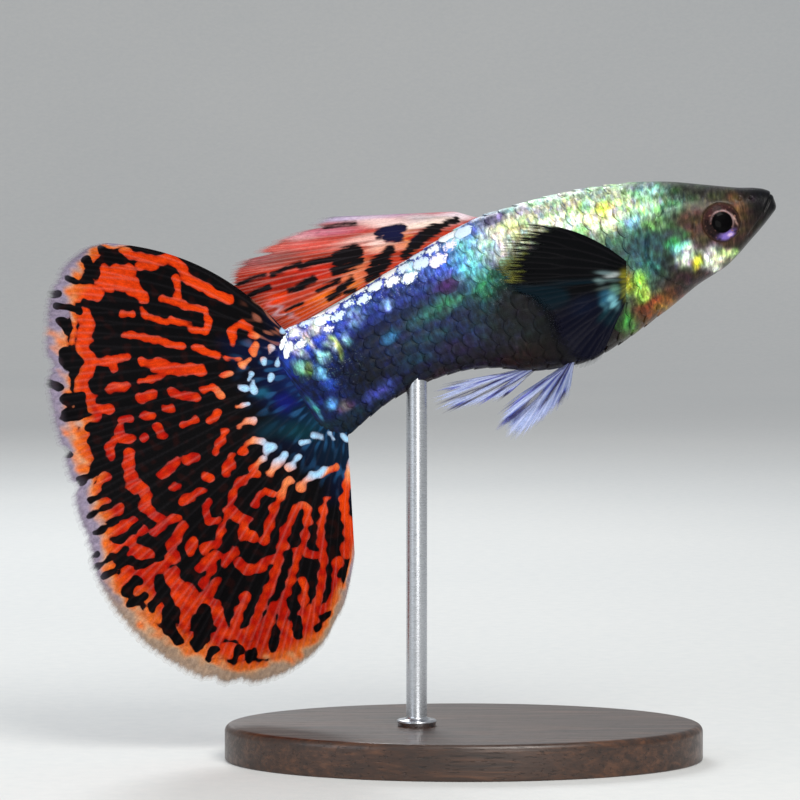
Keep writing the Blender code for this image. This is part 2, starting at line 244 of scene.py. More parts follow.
def girth_tables():
    """For places along the body, the section angle at equal shares of the way round, and the girth."""
    alongs = np.linspace(0.01, SKIN_END, GIRTH_ROWS)
    fine = np.linspace(0, 2 * math.pi, 1441)
    angles = []
    girths = []
    for along in alongs:
        height, side = section(along, fine)
        length = np.append(0, np.cumsum(np.hypot(np.diff(height), np.diff(side))))
        angles.append(np.interp(np.linspace(0, length[-1], GIRTH_SHARES), length, fine))
        girths.append(length[-1])
    return alongs, np.array(angles), np.array(girths)


GIRTH_ALONGS, GIRTH_ANGLES, GIRTHS = girth_tables()


def section_angle(along, share):
    """The section angle at a share of the way round the girth, read between the table's rows."""
    row = np.interp(along, GIRTH_ALONGS, np.arange(GIRTH_ROWS))
    column = (share % 1.0) * (GIRTH_SHARES - 1)
    r = np.clip(row.astype(int), 0, GIRTH_ROWS - 2)
    c = np.clip(column.astype(int), 0, GIRTH_SHARES - 2)
    v = row - r
    u = column - c
    low = GIRTH_ANGLES[r, c] * (1 - u) + GIRTH_ANGLES[r, c + 1] * u
    high = GIRTH_ANGLES[r + 1, c] * (1 - u) + GIRTH_ANGLES[r + 1, c + 1] * u
    return low * (1 - v) + high * v


def surface_point(along, share):
    height, side = section(along, section_angle(along, share))
    return body_point(along, height, side)


def surface(along, share):
    """Points of the body's smooth surface, and the way out of it there."""
    back = surface_point(along + 0.03, share) - surface_point(np.maximum(along - 0.03, 0.005), share)
    round_it = surface_point(along, share + 0.003) - surface_point(along, share - 0.003)
    out = np.cross(round_it, back)
    out /= np.linalg.norm(out, axis=-1, keepdims=True) + 1e-12
    return surface_point(along, share), out


def gill_edge(height):
    """Where the gill cover's free edge lies at a height."""
    heights, places = zip(*GILL_EDGE)
    return np.interp(height, heights, places)


def line_distance(x, y, x1, y1, x2, y2):
    """Distance from points to a straight stroke between two ends."""
    dx = x2 - x1
    dy = y2 - y1
    t = np.clip(((x - x1) * dx + (y - y1) * dy) / (dx * dx + dy * dy + 1e-9), 0, 1)
    return np.hypot(x - x1 - t * dx, y - y1 - t * dy)


def mottle(x, y, size, seed, waves=9):
    """Soft uneven noise between about -1 and 1, as a sum of waves about this size."""
    rng = np.random.default_rng(seed)
    total = np.zeros(np.broadcast(x, y).shape)
    for _ in range(waves):
        turn = rng.uniform(0, 2 * math.pi)
        length = size * rng.uniform(0.7, 1.6)
        phase = rng.uniform(0, 2 * math.pi)
        total += np.sin(2 * math.pi * (x * math.cos(turn) + y * math.sin(turn)) / length + phase)
    return total / math.sqrt(waves)


# Pieces


def add_object(name, data):
    obj = bpy.data.objects.new(name, data)
    bpy.context.scene.collection.objects.link(obj)
    return obj


def new_mesh(name, points, faces):
    mesh = bpy.data.meshes.new(name)
    mesh.from_pydata((points * MM).tolist(), [], faces)
    mesh.shade_smooth()
    return mesh


def new_piece(name, points, faces, corner_uv, attributes):
    """A mesh from points in millimetres, with its bake map and its named values at each point."""
    mesh = new_mesh(name, points, faces)
    layer = mesh.uv_layers.new(name=BAKE_MAP)
    layer.data.foreach_set("uv", np.asarray(corner_uv, np.float32).ravel())
    for key, values in attributes.items():
        values = np.asarray(values, np.float32)
        kind = "FLOAT" if values.ndim == 1 else "FLOAT_VECTOR"
        field = "value" if values.ndim == 1 else "vector"
        mesh.attributes.new(key, kind, "POINT").data.foreach_set(field, values.ravel())
    return add_object(name, mesh)


def dress(obj, material, nodes=()):
    """Gives a piece its material and slot, and has it ride on the one body in place of its nodes."""
    obj.data.materials.append(material)
    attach(obj, "root")
    if nodes:
        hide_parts(*nodes)


def tube_faces(rings, around, way=1):
    """Quads between rings of points, then a cap on each end. A way of -1 turns them all over."""
    ring = np.arange(rings - 1)[:, None] * around
    low = np.arange(around)[None, :]
    high = (low + 1) % around
    quads = np.stack([ring + low, ring + around + low, ring + around + high, ring + high], axis=-1)
    last = (rings - 1) * around
    caps = (list(range(around)), list(range(last + around - 1, last - 1, -1)))
    return quads.reshape(-1, 4)[:, ::way].tolist() + [cap[::way] for cap in caps]


def tube_uv(rings, around, v, way=1):
    """Corner places of the tube's quads on an unwrap whose seam is the first column."""
    u_low = np.broadcast_to(np.arange(around)[None, :] / around, (rings - 1, around))
    u_high = u_low + 1 / around
    v_low = np.broadcast_to(v[:-1, None], u_low.shape)
    v_high = np.broadcast_to(v[1:, None], u_low.shape)
    corners = [(u_low, v_low), (u_low, v_high), (u_high, v_high), (u_high, v_low)]
    corners = np.stack([np.stack(corner, axis=-1) for corner in corners], axis=2)
    return corners.reshape(-1, 4, 2)[:, ::way].reshape(-1, 2)


def bake_row(along):
    """Where a place along the body lies on the unwrap that the skin and the scales share."""
    return 0.01 + 0.97 * along / SKIN_END


# Markings of the body

# Display colours of the back, the flank and the belly at places along the body
BODY_COLOURS = (
    (0.0, (0.05, 0.05, 0.08), (0.06, 0.06, 0.07), (0.06, 0.06, 0.06)),
    (2.0, (0.10, 0.10, 0.09), (0.14, 0.12, 0.09), (0.11, 0.10, 0.08)),
    (3.0, (0.22, 0.23, 0.16), (0.31, 0.23, 0.15), (0.15, 0.13, 0.10)),
    (6.0, (0.28, 0.34, 0.25), (0.25, 0.23, 0.15), (0.27, 0.17, 0.12)),
    (8.0, (0.50, 0.62, 0.50), (0.22, 0.34, 0.28), (0.42, 0.24, 0.12)),
    (10.0, (0.76, 0.84, 0.74), (0.32, 0.46, 0.38), (0.40, 0.26, 0.14)),
    (12.0, (0.82, 0.88, 0.80), (0.32, 0.42, 0.35), (0.18, 0.13, 0.11)),
    (15.0, (0.84, 0.88, 0.82), (0.14, 0.20, 0.21), (0.08, 0.06, 0.07)),
    (18.0, (0.58, 0.70, 0.78), (0.17, 0.32, 0.30), (0.13, 0.09, 0.10)),
    (21.0, (0.28, 0.35, 0.70), (0.13, 0.17, 0.29), (0.13, 0.11, 0.15)),
    (24.0, (0.24, 0.30, 0.68), (0.10, 0.15, 0.26), (0.10, 0.11, 0.18)),
    (27.0, (0.21, 0.28, 0.66), (0.06, 0.10, 0.22), (0.07, 0.11, 0.19)),
    (30.0, (0.14, 0.24, 0.66), (0.05, 0.12, 0.34), (0.06, 0.14, 0.20)),
    (32.2, (0.10, 0.20, 0.52), (0.04, 0.11, 0.30), (0.04, 0.13, 0.18)),
)

# Patches: along, height, half length, half height, rise towards the tail in degrees, colour, strength
BODY_PATCHES = (
    # Head
    (0.9, 0.70, 1.50, 1.00, 0, (0.03, 0.03, 0.05), 0.92),
    (4.2, 2.45, 2.20, 0.40, 10, (0.19, 0.20, 0.16), 0.80),
    (3.75, -0.15, 1.75, 1.65, 0, (0.27, 0.18, 0.13), 0.85),
    (2.50, 0.75, 0.35, 0.85, -15, (0.44, 0.31, 0.17), 0.75),
    (5.6, 0.30, 0.60, 1.10, 10, (0.33, 0.21, 0.15), 0.75),
    (5.02, -2.04, 0.62, 0.60, 0, (1.00, 1.00, 0.96), 1.00),
    (4.90, -2.60, 0.40, 0.38, 0, (1.00, 1.00, 0.92), 1.00),
    (4.32, -2.10, 0.62, 0.42, 0, (1.00, 0.99, 0.80), 1.00),
    (3.66, -2.14, 0.45, 0.24, 5, (0.84, 0.97, 0.62), 0.95),
    (5.52, -1.95, 0.13, 0.60, 0, (0.20, 0.16, 0.10), 0.90),
    (7.05, -0.39, 0.40, 0.34, 0, (0.25, 0.70, 0.38), 0.85),
    (6.50, -0.10, 0.50, 0.35, 0, (0.22, 0.42, 0.26), 0.70),
    (6.60, -0.92, 0.46, 0.38, 0, (0.62, 1.00, 0.94), 1.00),
    (6.42, -1.50, 0.66, 0.44, -35, (1.00, 1.00, 0.94), 1.00),
    (5.92, -1.98, 0.42, 0.32, -35, (0.94, 0.96, 0.26), 1.00),
    (7.55, -1.35, 0.75, 0.42, -30, (0.08, 0.12, 0.12), 0.85),
    (7.28, -2.41, 1.00, 0.65, 0, (0.20, 0.13, 0.13), 0.85),
    (6.45, -3.17, 1.00, 0.50, 10, (0.21, 0.15, 0.15), 0.85),
    (8.82, 0.02, 1.50, 0.90, -10, (0.11, 0.26, 0.28), 0.85),
    (9.00, -1.30, 0.60, 0.55, 0, (0.20, 0.44, 0.42), 0.70),
    (9.30, -3.69, 0.85, 0.50, 10, (0.60, 0.27, 0.14), 0.95),
    (8.35, -4.05, 0.85, 0.42, 12, (0.68, 0.50, 0.20), 0.90),
    (9.73, -2.32, 0.50, 0.70, 0, (0.66, 0.92, 0.34), 1.00),
    (9.60, -2.95, 0.40, 0.35, 0, (0.80, 0.96, 0.42), 0.90),
    (10.94, -4.30, 0.42, 0.72, 0, (0.42, 0.78, 0.36), 0.95),
    (10.33, -1.94, 0.42, 0.80, 0, (0.56, 0.52, 0.10), 0.95),
    (6.59, 1.95, 0.75, 0.65, 0, (0.30, 0.46, 0.36), 0.80),
    (7.80, 1.21, 0.90, 0.55, 0, (0.42, 0.58, 0.34), 0.75),
    (8.10, 2.41, 1.10, 0.65, 0, (0.68, 0.82, 0.66), 0.90),
    (7.60, 3.10, 1.20, 0.35, 5, (0.70, 0.86, 0.88), 0.80),
    (9.28, 2.90, 0.60, 0.60, 0, (0.86, 0.95, 0.70), 0.85),
    (9.06, 1.60, 0.38, 0.45, 0, (0.56, 0.78, 0.90), 0.90),
    # Shoulder
    (12.0, 2.70, 2.20, 1.20, 0, (0.88, 0.93, 0.76), 0.90),
    (10.12, 2.38, 0.42, 0.70, 0, (1.00, 0.98, 0.92), 1.00),
    (10.6, 2.90, 0.45, 0.50, 0, (0.97, 0.86, 0.32), 0.90),
    (13.2, 3.30, 1.00, 0.60, 0, (0.90, 0.90, 0.62), 0.85),
    (12.7, 2.65, 0.60, 0.40, 0, (0.98, 0.94, 0.92), 0.90),
    (11.4, 3.30, 0.50, 0.40, 0, (0.55, 0.76, 0.62), 0.80),
    (12.3, 1.90, 0.60, 0.40, 0, (0.46, 0.60, 0.50), 0.70),
    (14.1, 4.20, 0.90, 0.40, 0, (0.64, 0.74, 0.76), 0.80),
    (14.8, 3.10, 1.70, 1.20, 0, (1.00, 1.00, 0.92), 1.00),
    (16.2, 3.50, 0.80, 0.60, 0, (0.97, 0.93, 0.64), 0.90),
    (17.25, 3.00, 0.50, 1.15, 0, (1.00, 1.00, 0.93), 1.00),
    (17.35, 4.40, 0.95, 0.50, -8, (0.22, 0.22, 0.32), 0.95),
    (16.1, 4.60, 0.80, 0.30, 0, (0.22, 0.38, 0.40), 0.85),
    (16.92, 4.40, 0.20, 0.16, 0, (0.82, 0.76, 0.95), 1.00),
    (18.48, 3.95, 0.50, 0.45, 0, (0.33, 0.40, 0.80), 0.90),
    (17.95, 3.50, 0.35, 0.60, 0, (0.62, 0.67, 0.82), 0.80),
    (18.40, 2.80, 0.70, 0.70, 0, (0.70, 0.86, 0.92), 0.85),
    (19.47, 4.10, 0.45, 0.45, 0, (0.80, 0.97, 1.00), 0.95),
    (19.56, 2.56, 0.70, 1.10, 0, (0.50, 0.82, 0.98), 0.90),
    (19.00, 1.60, 0.60, 0.60, 0, (0.46, 0.78, 0.76), 0.85),
    (18.95, 0.55, 0.60, 0.70, 0, (0.24, 0.54, 0.40), 0.95),
    (16.5, -0.80, 2.20, 1.60, 0, (0.04, 0.07, 0.09), 0.85),
    (17.35, -4.24, 2.20, 0.90, 0, (0.17, 0.09, 0.07), 0.85),
    (19.04, -3.06, 1.60, 0.80, 0, (0.12, 0.10, 0.15), 0.80),
    (14.2, -3.60, 2.60, 2.60, 0, (0.012, 0.012, 0.03), 0.96),
    (17.6, -1.90, 2.20, 1.30, 0, (0.11, 0.08, 0.10), 0.85),
    # Flank and stalk
    (20.84, 2.82, 1.00, 0.60, 0, (0.34, 0.44, 0.94), 0.90),
    (20.00, 3.40, 0.30, 0.50, 0, (0.14, 0.30, 0.70), 0.70),
    (20.92, 1.44, 0.90, 0.45, 0, (0.34, 0.20, 0.40), 0.85),
    (21.51, 0.34, 1.10, 0.42, 0, (0.24, 0.48, 0.34), 0.85),
    (22.50, 0.20, 0.90, 0.40, 0, (0.20, 0.44, 0.38), 0.75),
    (23.50, 0.20, 0.80, 0.40, 0, (0.19, 0.35, 0.38), 0.65),
    (22.40, 2.20, 1.30, 0.60, 0, (0.20, 0.26, 0.50), 0.80),
    (25.20, 2.00, 1.60, 0.70, 0, (0.14, 0.20, 0.42), 0.80),
    (28.10, -1.20, 1.70, 1.20, 0, (0.015, 0.05, 0.10), 0.90),
    (23.20, -1.20, 1.30, 0.50, 8, (0.12, 0.24, 0.28), 0.70),
    (21.80, -2.40, 1.20, 0.45, 8, (0.16, 0.10, 0.20), 0.70),
    (24.60, -1.90, 1.00, 0.45, 8, (0.08, 0.20, 0.26), 0.70),
    (22.45, 3.17, 0.30, 0.28, 0, (0.80, 0.94, 1.00), 0.95),
    (24.67, 1.92, 0.20, 0.33, 0, (0.58, 0.66, 1.00), 0.90),
    (26.89, 2.29, 0.52, 0.48, 0, (0.66, 0.75, 1.00), 0.95),
    (26.85, 2.35, 0.20, 0.18, 0, (0.10, 0.12, 0.42), 0.95),
    (27.80, 1.24, 0.24, 0.36, 0, (0.62, 0.82, 1.00), 0.95),
    (25.45, 0.08, 0.42, 0.30, 0, (0.20, 0.42, 0.58), 0.80),
    (27.65, -2.64, 0.90, 0.42, 0, (0.30, 0.34, 0.66), 0.85),
    (25.00, -3.55, 2.50, 0.25, 0, (0.20, 0.11, 0.11), 0.70),
    # Root of the tail fin
    (29.15, 3.00, 0.40, 0.42, 0, (1.00, 0.97, 0.96), 1.00),
    (29.95, 2.39, 0.22, 0.62, -12, (1.00, 0.92, 0.90), 1.00),
    (30.85, 2.35, 0.20, 0.65, -12, (0.88, 0.86, 0.98), 0.95),
    (30.38, 3.38, 0.28, 0.24, 0, (1.00, 0.92, 0.92), 0.95),
    (28.60, 1.35, 0.18, 0.75, 0, (0.82, 0.88, 0.46), 0.90),
    (29.00, 1.45, 0.20, 0.40, 0, (0.85, 0.98, 1.00), 0.95),
    (29.74, 1.17, 0.20, 0.42, -12, (0.72, 0.96, 1.00), 0.95),
    (30.37, 2.06, 0.22, 0.30, 0, (0.18, 0.38, 0.86), 0.90),
    (30.20, 0.28, 0.24, 0.50, 0, (0.48, 0.75, 1.00), 0.95),
    (31.27, 1.29, 0.28, 0.40, 0, (0.60, 0.92, 0.80), 0.90),
    (30.80, 0.90, 0.28, 0.38, 0, (0.50, 0.64, 0.28), 0.85),
    (30.30, -0.60, 0.40, 0.24, 0, (0.22, 0.38, 0.85), 0.85),
    (30.66, -1.70, 0.34, 0.28, 0, (0.44, 0.70, 0.96), 0.95),
    (31.77, -1.48, 0.12, 0.60, 0, (0.40, 0.76, 0.82), 0.85),
    (30.06, -2.28, 0.40, 0.30, 0, (0.50, 0.41, 0.45), 0.80),
)

# Where silvery pigment mirrors the light: the same five numbers, then the strength
SHINE_PATCHES = (
    (4.4, -2.2, 1.2, 0.6, 0, 0.45),
    (6.3, -0.9, 0.9, 1.0, 30, 0.55),
    (8.0, 2.6, 2.2, 1.5, 0, 0.7),
    (13.0, 2.6, 4.8, 2.0, 0, 1.0),
    (10.0, -2.2, 1.2, 1.3, 0, 0.8),
    (18.5, 1.5, 1.6, 2.8, 0, 0.6),
    (23.0, 3.0, 5.0, 1.1, 0, 0.8),
    (29.5, 1.0, 2.2, 2.6, 0, 0.6),
)


def patch_weight(along, height, patch):
    """How strongly a patch shows: 1 in its middle, fading round its edge."""
    place, level, half_length, half_height, rise = patch[:5]
    turn = math.radians(rise)
    u = ((along - place) * math.cos(turn) + (height - level) * math.sin(turn)) / half_length
    v = ((height - level) * math.cos(turn) - (along - place) * math.sin(turn)) / half_height
    return np.exp(-0.75 * (u * u + v * v) ** 1.5)


def patch_layers(x, y, patches, veil=1.0):
    """Each patch as a layer for painted()."""
    for patch in patches:
        yield patch[6] * patch_weight(x, y, patch) * veil, patch[5]


def body_paint(along, height):
    """The coat's colour and its shine at places on the body."""
    wander = 0.13 * mottle(along, height, 1.7, 11)
    lift = 0.10 * mottle(along, height, 1.3, 12)
    places = np.array([row[0] for row in BODY_COLOURS])
    levels = []
    for column in (1, 2, 3):
        colours = linear([row[column] for row in BODY_COLOURS])
        levels.append(np.stack([np.interp(along, places, colours[:, k]) for k in range(3)], axis=-1))
    back, belly, _ = body_size(along)
    share = np.where(height > 0, height / back, height / belly)
    top = smooth_step((share - 0.25) / 0.4)[..., None]
    bottom = smooth_step((-share - 0.45) / 0.4)[..., None]
    colour = levels[1] + top * (levels[0] - levels[1])
    colour = colour + bottom * (levels[2] - colour)
    green = 0.12 * mottle(along, height, 0.80, 14, 16)
    hue = np.stack([1 - 0.5 * green, 1 + green, 1 - green], axis=-1)
    colour = painted(colour, patch_layers(along + wander, height + lift, BODY_PATCHES))
    blotches = np.exp(0.34 * mottle(along, height, 0.48, 13, 24))
    colour = np.clip(colour * hue * blotches[..., None], 0, 1)
    shine = np.full(along.shape, 0.12)
    for patch in SHINE_PATCHES:
        weight = patch_weight(along + wander, height + lift, patch)
        shine = shine + weight * (patch[5] - shine)
    return colour, shine


# Skin


def skin_relief(along, height, side):
    """How far the skin stands out of the smooth body: mouth, nostrils, eye sockets and gill covers."""
    relief = np.zeros(along.shape)
    fall = math.atan(MOUTH_FALL)
    across_mouth = (height - MOUTH_FRONT_HEIGHT + MOUTH_FALL * along) * math.cos(fall)
    in_mouth = smooth_step((MOUTH_LENGTH - along) / 0.25)
    relief += in_mouth * 0.03 * np.exp(-(((np.abs(across_mouth) - 0.16) / 0.10) ** 2))
    relief -= in_mouth * 0.08 * np.exp(-((across_mouth / 0.05) ** 2))
    jaw_line = line_distance(along, height, 1.1, -0.40, 2.3, -1.35)
    relief -= 0.05 * np.exp(-((jaw_line / 0.09) ** 2))
    for place, level, radius in NOSTRILS:
        apart = np.hypot(along - place, height - level)
        relief += 0.015 * np.exp(-(((apart - 1.5 * radius) / (0.6 * radius)) ** 2))
        relief -= 0.10 * np.exp(-((apart / (0.8 * radius)) ** 2))
    from_eye = np.hypot(along - EYE_ALONG, height - EYE_HEIGHT)
    relief += 0.02 * np.exp(-(((from_eye - EYE_RADIUS - 0.05) / 0.2) ** 2))
    relief -= 0.8 * smooth_step((EYE_RADIUS - 0.05 - from_eye) / 0.24)
    before_edge = gill_edge(height) - along
    in_cover = smooth_step((2.3 - height) / 0.7) * smooth_step((height + 3.5) / 1.0)
    cover = np.where(before_edge > 0, 0.11 * smooth_step(1 - before_edge / 2.2), 0)
    groove = 0.09 * np.exp(-((before_edge / 0.16) ** 2)) * (before_edge <= 0)
    relief += in_cover * (cover - groove)
    cheek_fold = np.hypot((along - 3.9) / 1.0, (height + 0.9) / 1.35) - 1.75
    in_fold = smooth_step((along - 4.4) / 0.6) * smooth_step((1.2 - height) / 0.6)
    relief -= 0.045 * np.exp(-((cheek_fold / 0.07) ** 2)) * in_fold
    under = smooth_step((-height - 0.6 * body_size(along)[1]) / 0.6)
    throat = smooth_step((along - 2.2) / 1.0) * smooth_step((8.2 - along) / 1.5)
    relief -= 0.09 * throat * under * np.exp(-((side / 0.16) ** 2))
    return relief


def make_skin():
    spans = [np.arange(start, end, step) for start, end, step in RING_SPANS]
    places = np.append(np.concatenate(spans), SKIN_END)
    places[0] = 0.004
    rings = len(places)
    along = np.broadcast_to(places[:, None], (rings, SKIN_AROUND))
    share = np.broadcast_to(np.arange(SKIN_AROUND)[None, :] / SKIN_AROUND, along.shape)
    height, side = section(along, section_angle(along, share))
    point, out = surface(along, share)
    depth = HEAD_SKIN_DEPTH + (COAT_DEPTH - HEAD_SKIN_DEPTH) * smooth_step((along - 8.4) / 1.4)
    thin_end = smooth_step((SKIN_END - along) / 1.2)
    relief = skin_relief(along, height, side) - depth * thin_end
    points = point + relief[..., None] * out
    paint, shine = body_paint(along, height)
    girth = np.interp(along, GIRTH_ALONGS, GIRTHS)
    flow = np.stack([along, share * girth, np.zeros_like(along)], axis=-1)
    faces = tube_faces(rings, SKIN_AROUND)
    turn = np.arange(SKIN_AROUND) * 2 * math.pi / SKIN_AROUND
    cap = np.column_stack([0.5 + 0.004 * np.cos(turn), 0.000032 * np.sin(turn)])
    sheet_uv = tube_uv(rings, SKIN_AROUND, bake_row(places))
    uv = np.concatenate([sheet_uv, cap + (0, 0.007), cap + (0, 0.991)])
    values = {"paint": paint.reshape(-1, 3), "shine": shine.ravel(), "flow": flow.reshape(-1, 3)}
    obj = new_piece("skin", points.reshape(-1, 3), faces, uv, values)
    nodes = ("head", "lower_jaw", "gill_cover_right", "gill_cover_left", "trunk", "tail_stalk")
    dress(obj, skin_material("guppy_skin", plated=False), nodes)


# Scales


def scale_places(rng):
    """Where each plate sits: its root's place along the body and share of the girth."""
    rows = int((SCALE_LAST - SCALE_FIRST) / SCALE_SPACING)
    places = []
    for row in range(rows + 1):
        for column in range(SCALES_AROUND):
            along = SCALE_FIRST + row * SCALE_SPACING + rng.normal(0, 0.02)
            share = (column + 0.5 * (row % 2)) / SCALES_AROUND
            height, _ = section(np.array(along), section_angle(np.array(along), np.array(share)))
            on_nape = height > 0.5 * body_size(np.array(along))[0] + 0.3
            behind_gill = along > gill_edge(height) + 0.25 and -4.6 < height
            if along > 9.3 or (behind_gill and along > 6.6) or on_nape:
                places.append((along, share))
    return np.array(places)


def plate_disc():
    """Places on a round plate as a grid of quads: x towards the tail and y round the body."""
    edge = np.linspace(-1, 1, PLATE_STEPS + 1)
    u, v = np.meshgrid(edge, edge, indexing="ij")
    return (u * np.sqrt(1 - v * v / 2)).ravel(), (v * np.sqrt(1 - u * u / 2)).ravel()


def sheet_faces(columns, rows):
    """Quads of a closed sheet: its front, then its back, then its rim. The back's points come second."""
    index = np.arange(columns * rows).reshape(columns, rows)
    quads = np.stack([index[:-1, :-1], index[1:, :-1], index[1:, 1:], index[:-1, 1:]], axis=-1)
    front = quads.reshape(-1, 4)
    back = front[:, ::-1] + columns * rows
    edge = np.concatenate([index[:-1, 0], index[-1, :-1], index[:0:-1, -1], index[0, :0:-1]])
    after = np.roll(edge, -1)
    rim = np.stack([edge, edge + columns * rows, after + columns * rows, after], axis=-1)
    return front, back, rim


def plate_lift(x, y):
    """How far a plate stands out of the body: its front tucked in, its rear up, and a low crown."""
    rise = 0.5 + 0.5 * x
    crown = 0.035 * (1 - x * x) * (1 - y * y)
    return -0.15 + 0.115 * rise**1.2 + crown - 0.03 * y * y * rise


def plate_values(places, seeds, along, share, girth):
    """The named values of each plate's points: those of its top, then the same again for its bottom."""
    x, y = plate_disc()
    height, _ = section(along, section_angle(along, share))
    middle = height[:, len(x) // 2]
    paint, shine = body_paint(along, height)
    root, _ = body_paint(places[:, 0], middle)
    paint = vary_scales(0.85 * paint + 0.15 * root[:, None, :], seeds)
    flow = np.stack([along, share * girth[:, None], np.zeros_like(along)], axis=-1)
    values = {}
    for key, value in (("paint", paint), ("shine", shine), ("flow", flow)):
        values[key] = np.concatenate([value, value], axis=1).reshape(-1, *value.shape[2:])
    shape = (len(places), 2 * len(x))
    disc = np.broadcast_to(np.column_stack([np.tile(x, 2), np.tile(y, 2)]), shape + (2,))
    hue = np.broadcast_to(seeds[:, None, 1:2], shape + (1,))
    values["plate"] = np.concatenate([disc, hue], axis=-1).reshape(-1, 3)
    values["pearl"] = np.repeat(pearls(places, middle, seeds), 2 * len(x))
    return values


def make_scales(name, keep, places, seeds):
    """One closed, slightly crowned plate at each place that is kept."""
    places = places[keep]
    seeds = seeds[keep]
    x, y = plate_disc()
    girth = np.interp(places[:, 0], GIRTH_ALONGS, GIRTHS)
    half_width = PLATE_HALF_WIDTH * girth / SCALES_AROUND
    along = places[:, 0, None] + PLATE_HALF_LENGTH * (x * (1 - 0.10 * np.abs(y)))[None, :]
    share = places[:, 1, None] + (half_width / girth)[:, None] * y[None, :]
    lift = plate_lift(x, y)[None, :] + 0.012 * (seeds[:, 0, None] - 0.5)
    point, out = surface(np.minimum(along, SKIN_END - 0.05), share)
    top = point + lift[..., None] * out
    points = np.concatenate([top, top - PLATE_THICKNESS * out], axis=1)
    plate = np.concatenate(sheet_faces(PLATE_STEPS + 1, PLATE_STEPS + 1))[:, ::-1]
    first = np.arange(len(places)) * 2 * len(x)
    faces = (plate[None, :, :] + first[:, None, None]).reshape(-1, 4)
    roots = np.column_stack([places[:, 1] % 1.0, bake_row(places[:, 0])])
    patch = np.column_stack([np.tile(y, 2), np.tile(x, 2)]) * 0.0015
    corner_uv = (roots[:, None, :] + patch[None, :, :]).reshape(-1, 2)[faces.ravel()]
    values = plate_values(places, seeds, along, share, girth)
    return new_piece(name, points.reshape(-1, 3), faces.tolist(), corner_uv, values)


def pearls(places, height, seeds):
    """How pearly each scale is: the white band along the back, from the dorsal fin to the tail."""
    along = places[:, 0]
    below_back = body_size(along)[0] - height
    depth = 0.60 + 0.75 * seeds[:, 2]
    size = (0.60 + 0.75 * seeds[:, 3]) * (1 - 0.35 * np.clip(below_back / depth, 0, 1))
    return smooth_step((along - 17.7) / 0.6) * (below_back < depth) * size


def vary_scales(paint, seeds):
    """Makes each scale a little lighter or darker than its neighbours, and a little off in hue."""
    value = np.exp(0.4 * (seeds[:, 5] - 0.5))[:, None, None]
    tint = 1 + 0.16 * (seeds[:, 6:9] - 0.5)[:, None, :]
    return np.clip(paint * value * tint, 0, 1)


def make_coat():
    rng = np.random.default_rng(21)
    places = scale_places(rng)
    seeds = rng.uniform(0, 1, (len(places), 9))
    material = skin_material("guppy_scales", plated=True)
    left = places[:, 1] < 0.5
    for name, keep in (("scales_left", left), ("scales_right", ~left)):
        dress(make_scales(name, keep, places, seeds), material)


# Eyes

EYE_AROUND = 96
DOME_CURVE = 2.5
DOME_HEIGHT = 0.24
DOME_EDGE = 1.18


def flank_place(along, height, hand):
    return body_point(along, height, hand * flank_width(along, height))


def eye_axes(hand):
    """The ways forward, up and out of the head at the eye."""
    ahead = flank_place(EYE_ALONG - 1.0, EYE_HEIGHT, hand)
    behind = flank_place(EYE_ALONG + 1.0, EYE_HEIGHT, hand)
    forward = (ahead - behind) / np.linalg.norm(ahead - behind)
    above = flank_place(EYE_ALONG, EYE_HEIGHT + 1.0, hand)
    below = flank_place(EYE_ALONG, EYE_HEIGHT - 1.0, hand)
    up = above - below
    up -= forward * (up @ forward)
    up /= np.linalg.norm(up)
    return forward, up, np.cross(forward, up) * -hand


def make_eye(side, hand, material):
    """A closed eye: a low dome with the iris and pupil painted on it, and a hidden ball behind."""
    forward, up, out = eye_axes(hand)
    centre = flank_place(EYE_ALONG, EYE_HEIGHT, hand)
    bent_edge = DOME_EDGE + 0.09 * np.sin(np.linspace(0.15, 1.5, 8))
    radii = np.concatenate([np.linspace(0.01, DOME_EDGE, 44), bent_edge])
    dome = np.sqrt(DOME_CURVE**2 - radii**2) - DOME_CURVE + DOME_HEIGHT
    pupil = 0.03 * smooth_step((PUPIL_RADIUS - radii) / 0.2)
    groove = -0.012 * np.exp(-(((radii - 0.80) / 0.10) ** 2))
    rim = -0.10 * smooth_step((radii - 1.16) / 0.11)
    behind_radii = np.linspace(1.26, 0.01, 14)
    behind_depth = -0.25 - 1.05 * np.sqrt(np.clip(1 - (behind_radii / 1.27) ** 2, 0, 1))
    radii_all = np.concatenate([radii, behind_radii])
    level = np.concatenate([dome + pupil + groove + rim, behind_depth])
    turn = np.arange(EYE_AROUND) * 2 * math.pi / EYE_AROUND
    x = radii_all[:, None] * np.cos(turn)[None, :]
    y = radii_all[:, None] * np.sin(turn)[None, :]
    points = centre + x[..., None] * forward + y[..., None] * up + level[:, None, None] * out
    rings = len(radii_all)
    paint = eye_paint(x, y, np.broadcast_to(np.arange(rings)[:, None] < len(radii), x.shape))
    circle = np.column_stack([0.5 + 0.4 * np.cos(turn), 0.008 + 0.006 * np.sin(turn)])
    ball_uv = tube_uv(rings, EYE_AROUND, np.linspace(0.02, 0.98, rings), -hand)
    uv = np.concatenate([ball_uv, circle, circle + (0, 0.984)])
    flow = np.stack([x, y, np.zeros_like(x)], axis=-1)
    values = {"paint": paint.reshape(-1, 3), "flow": flow.reshape(-1, 3)}
    faces = tube_faces(rings, EYE_AROUND, -hand)
    obj = new_piece(f"eye_ball_{side}", points.reshape(-1, 3), faces, uv, values)
    dress(obj, material, (f"eye_{side}",))


def make_eyes():
    material = eye_material()
    for side, hand in (("right", -1), ("left", 1)):
        make_eye(side, hand, material)


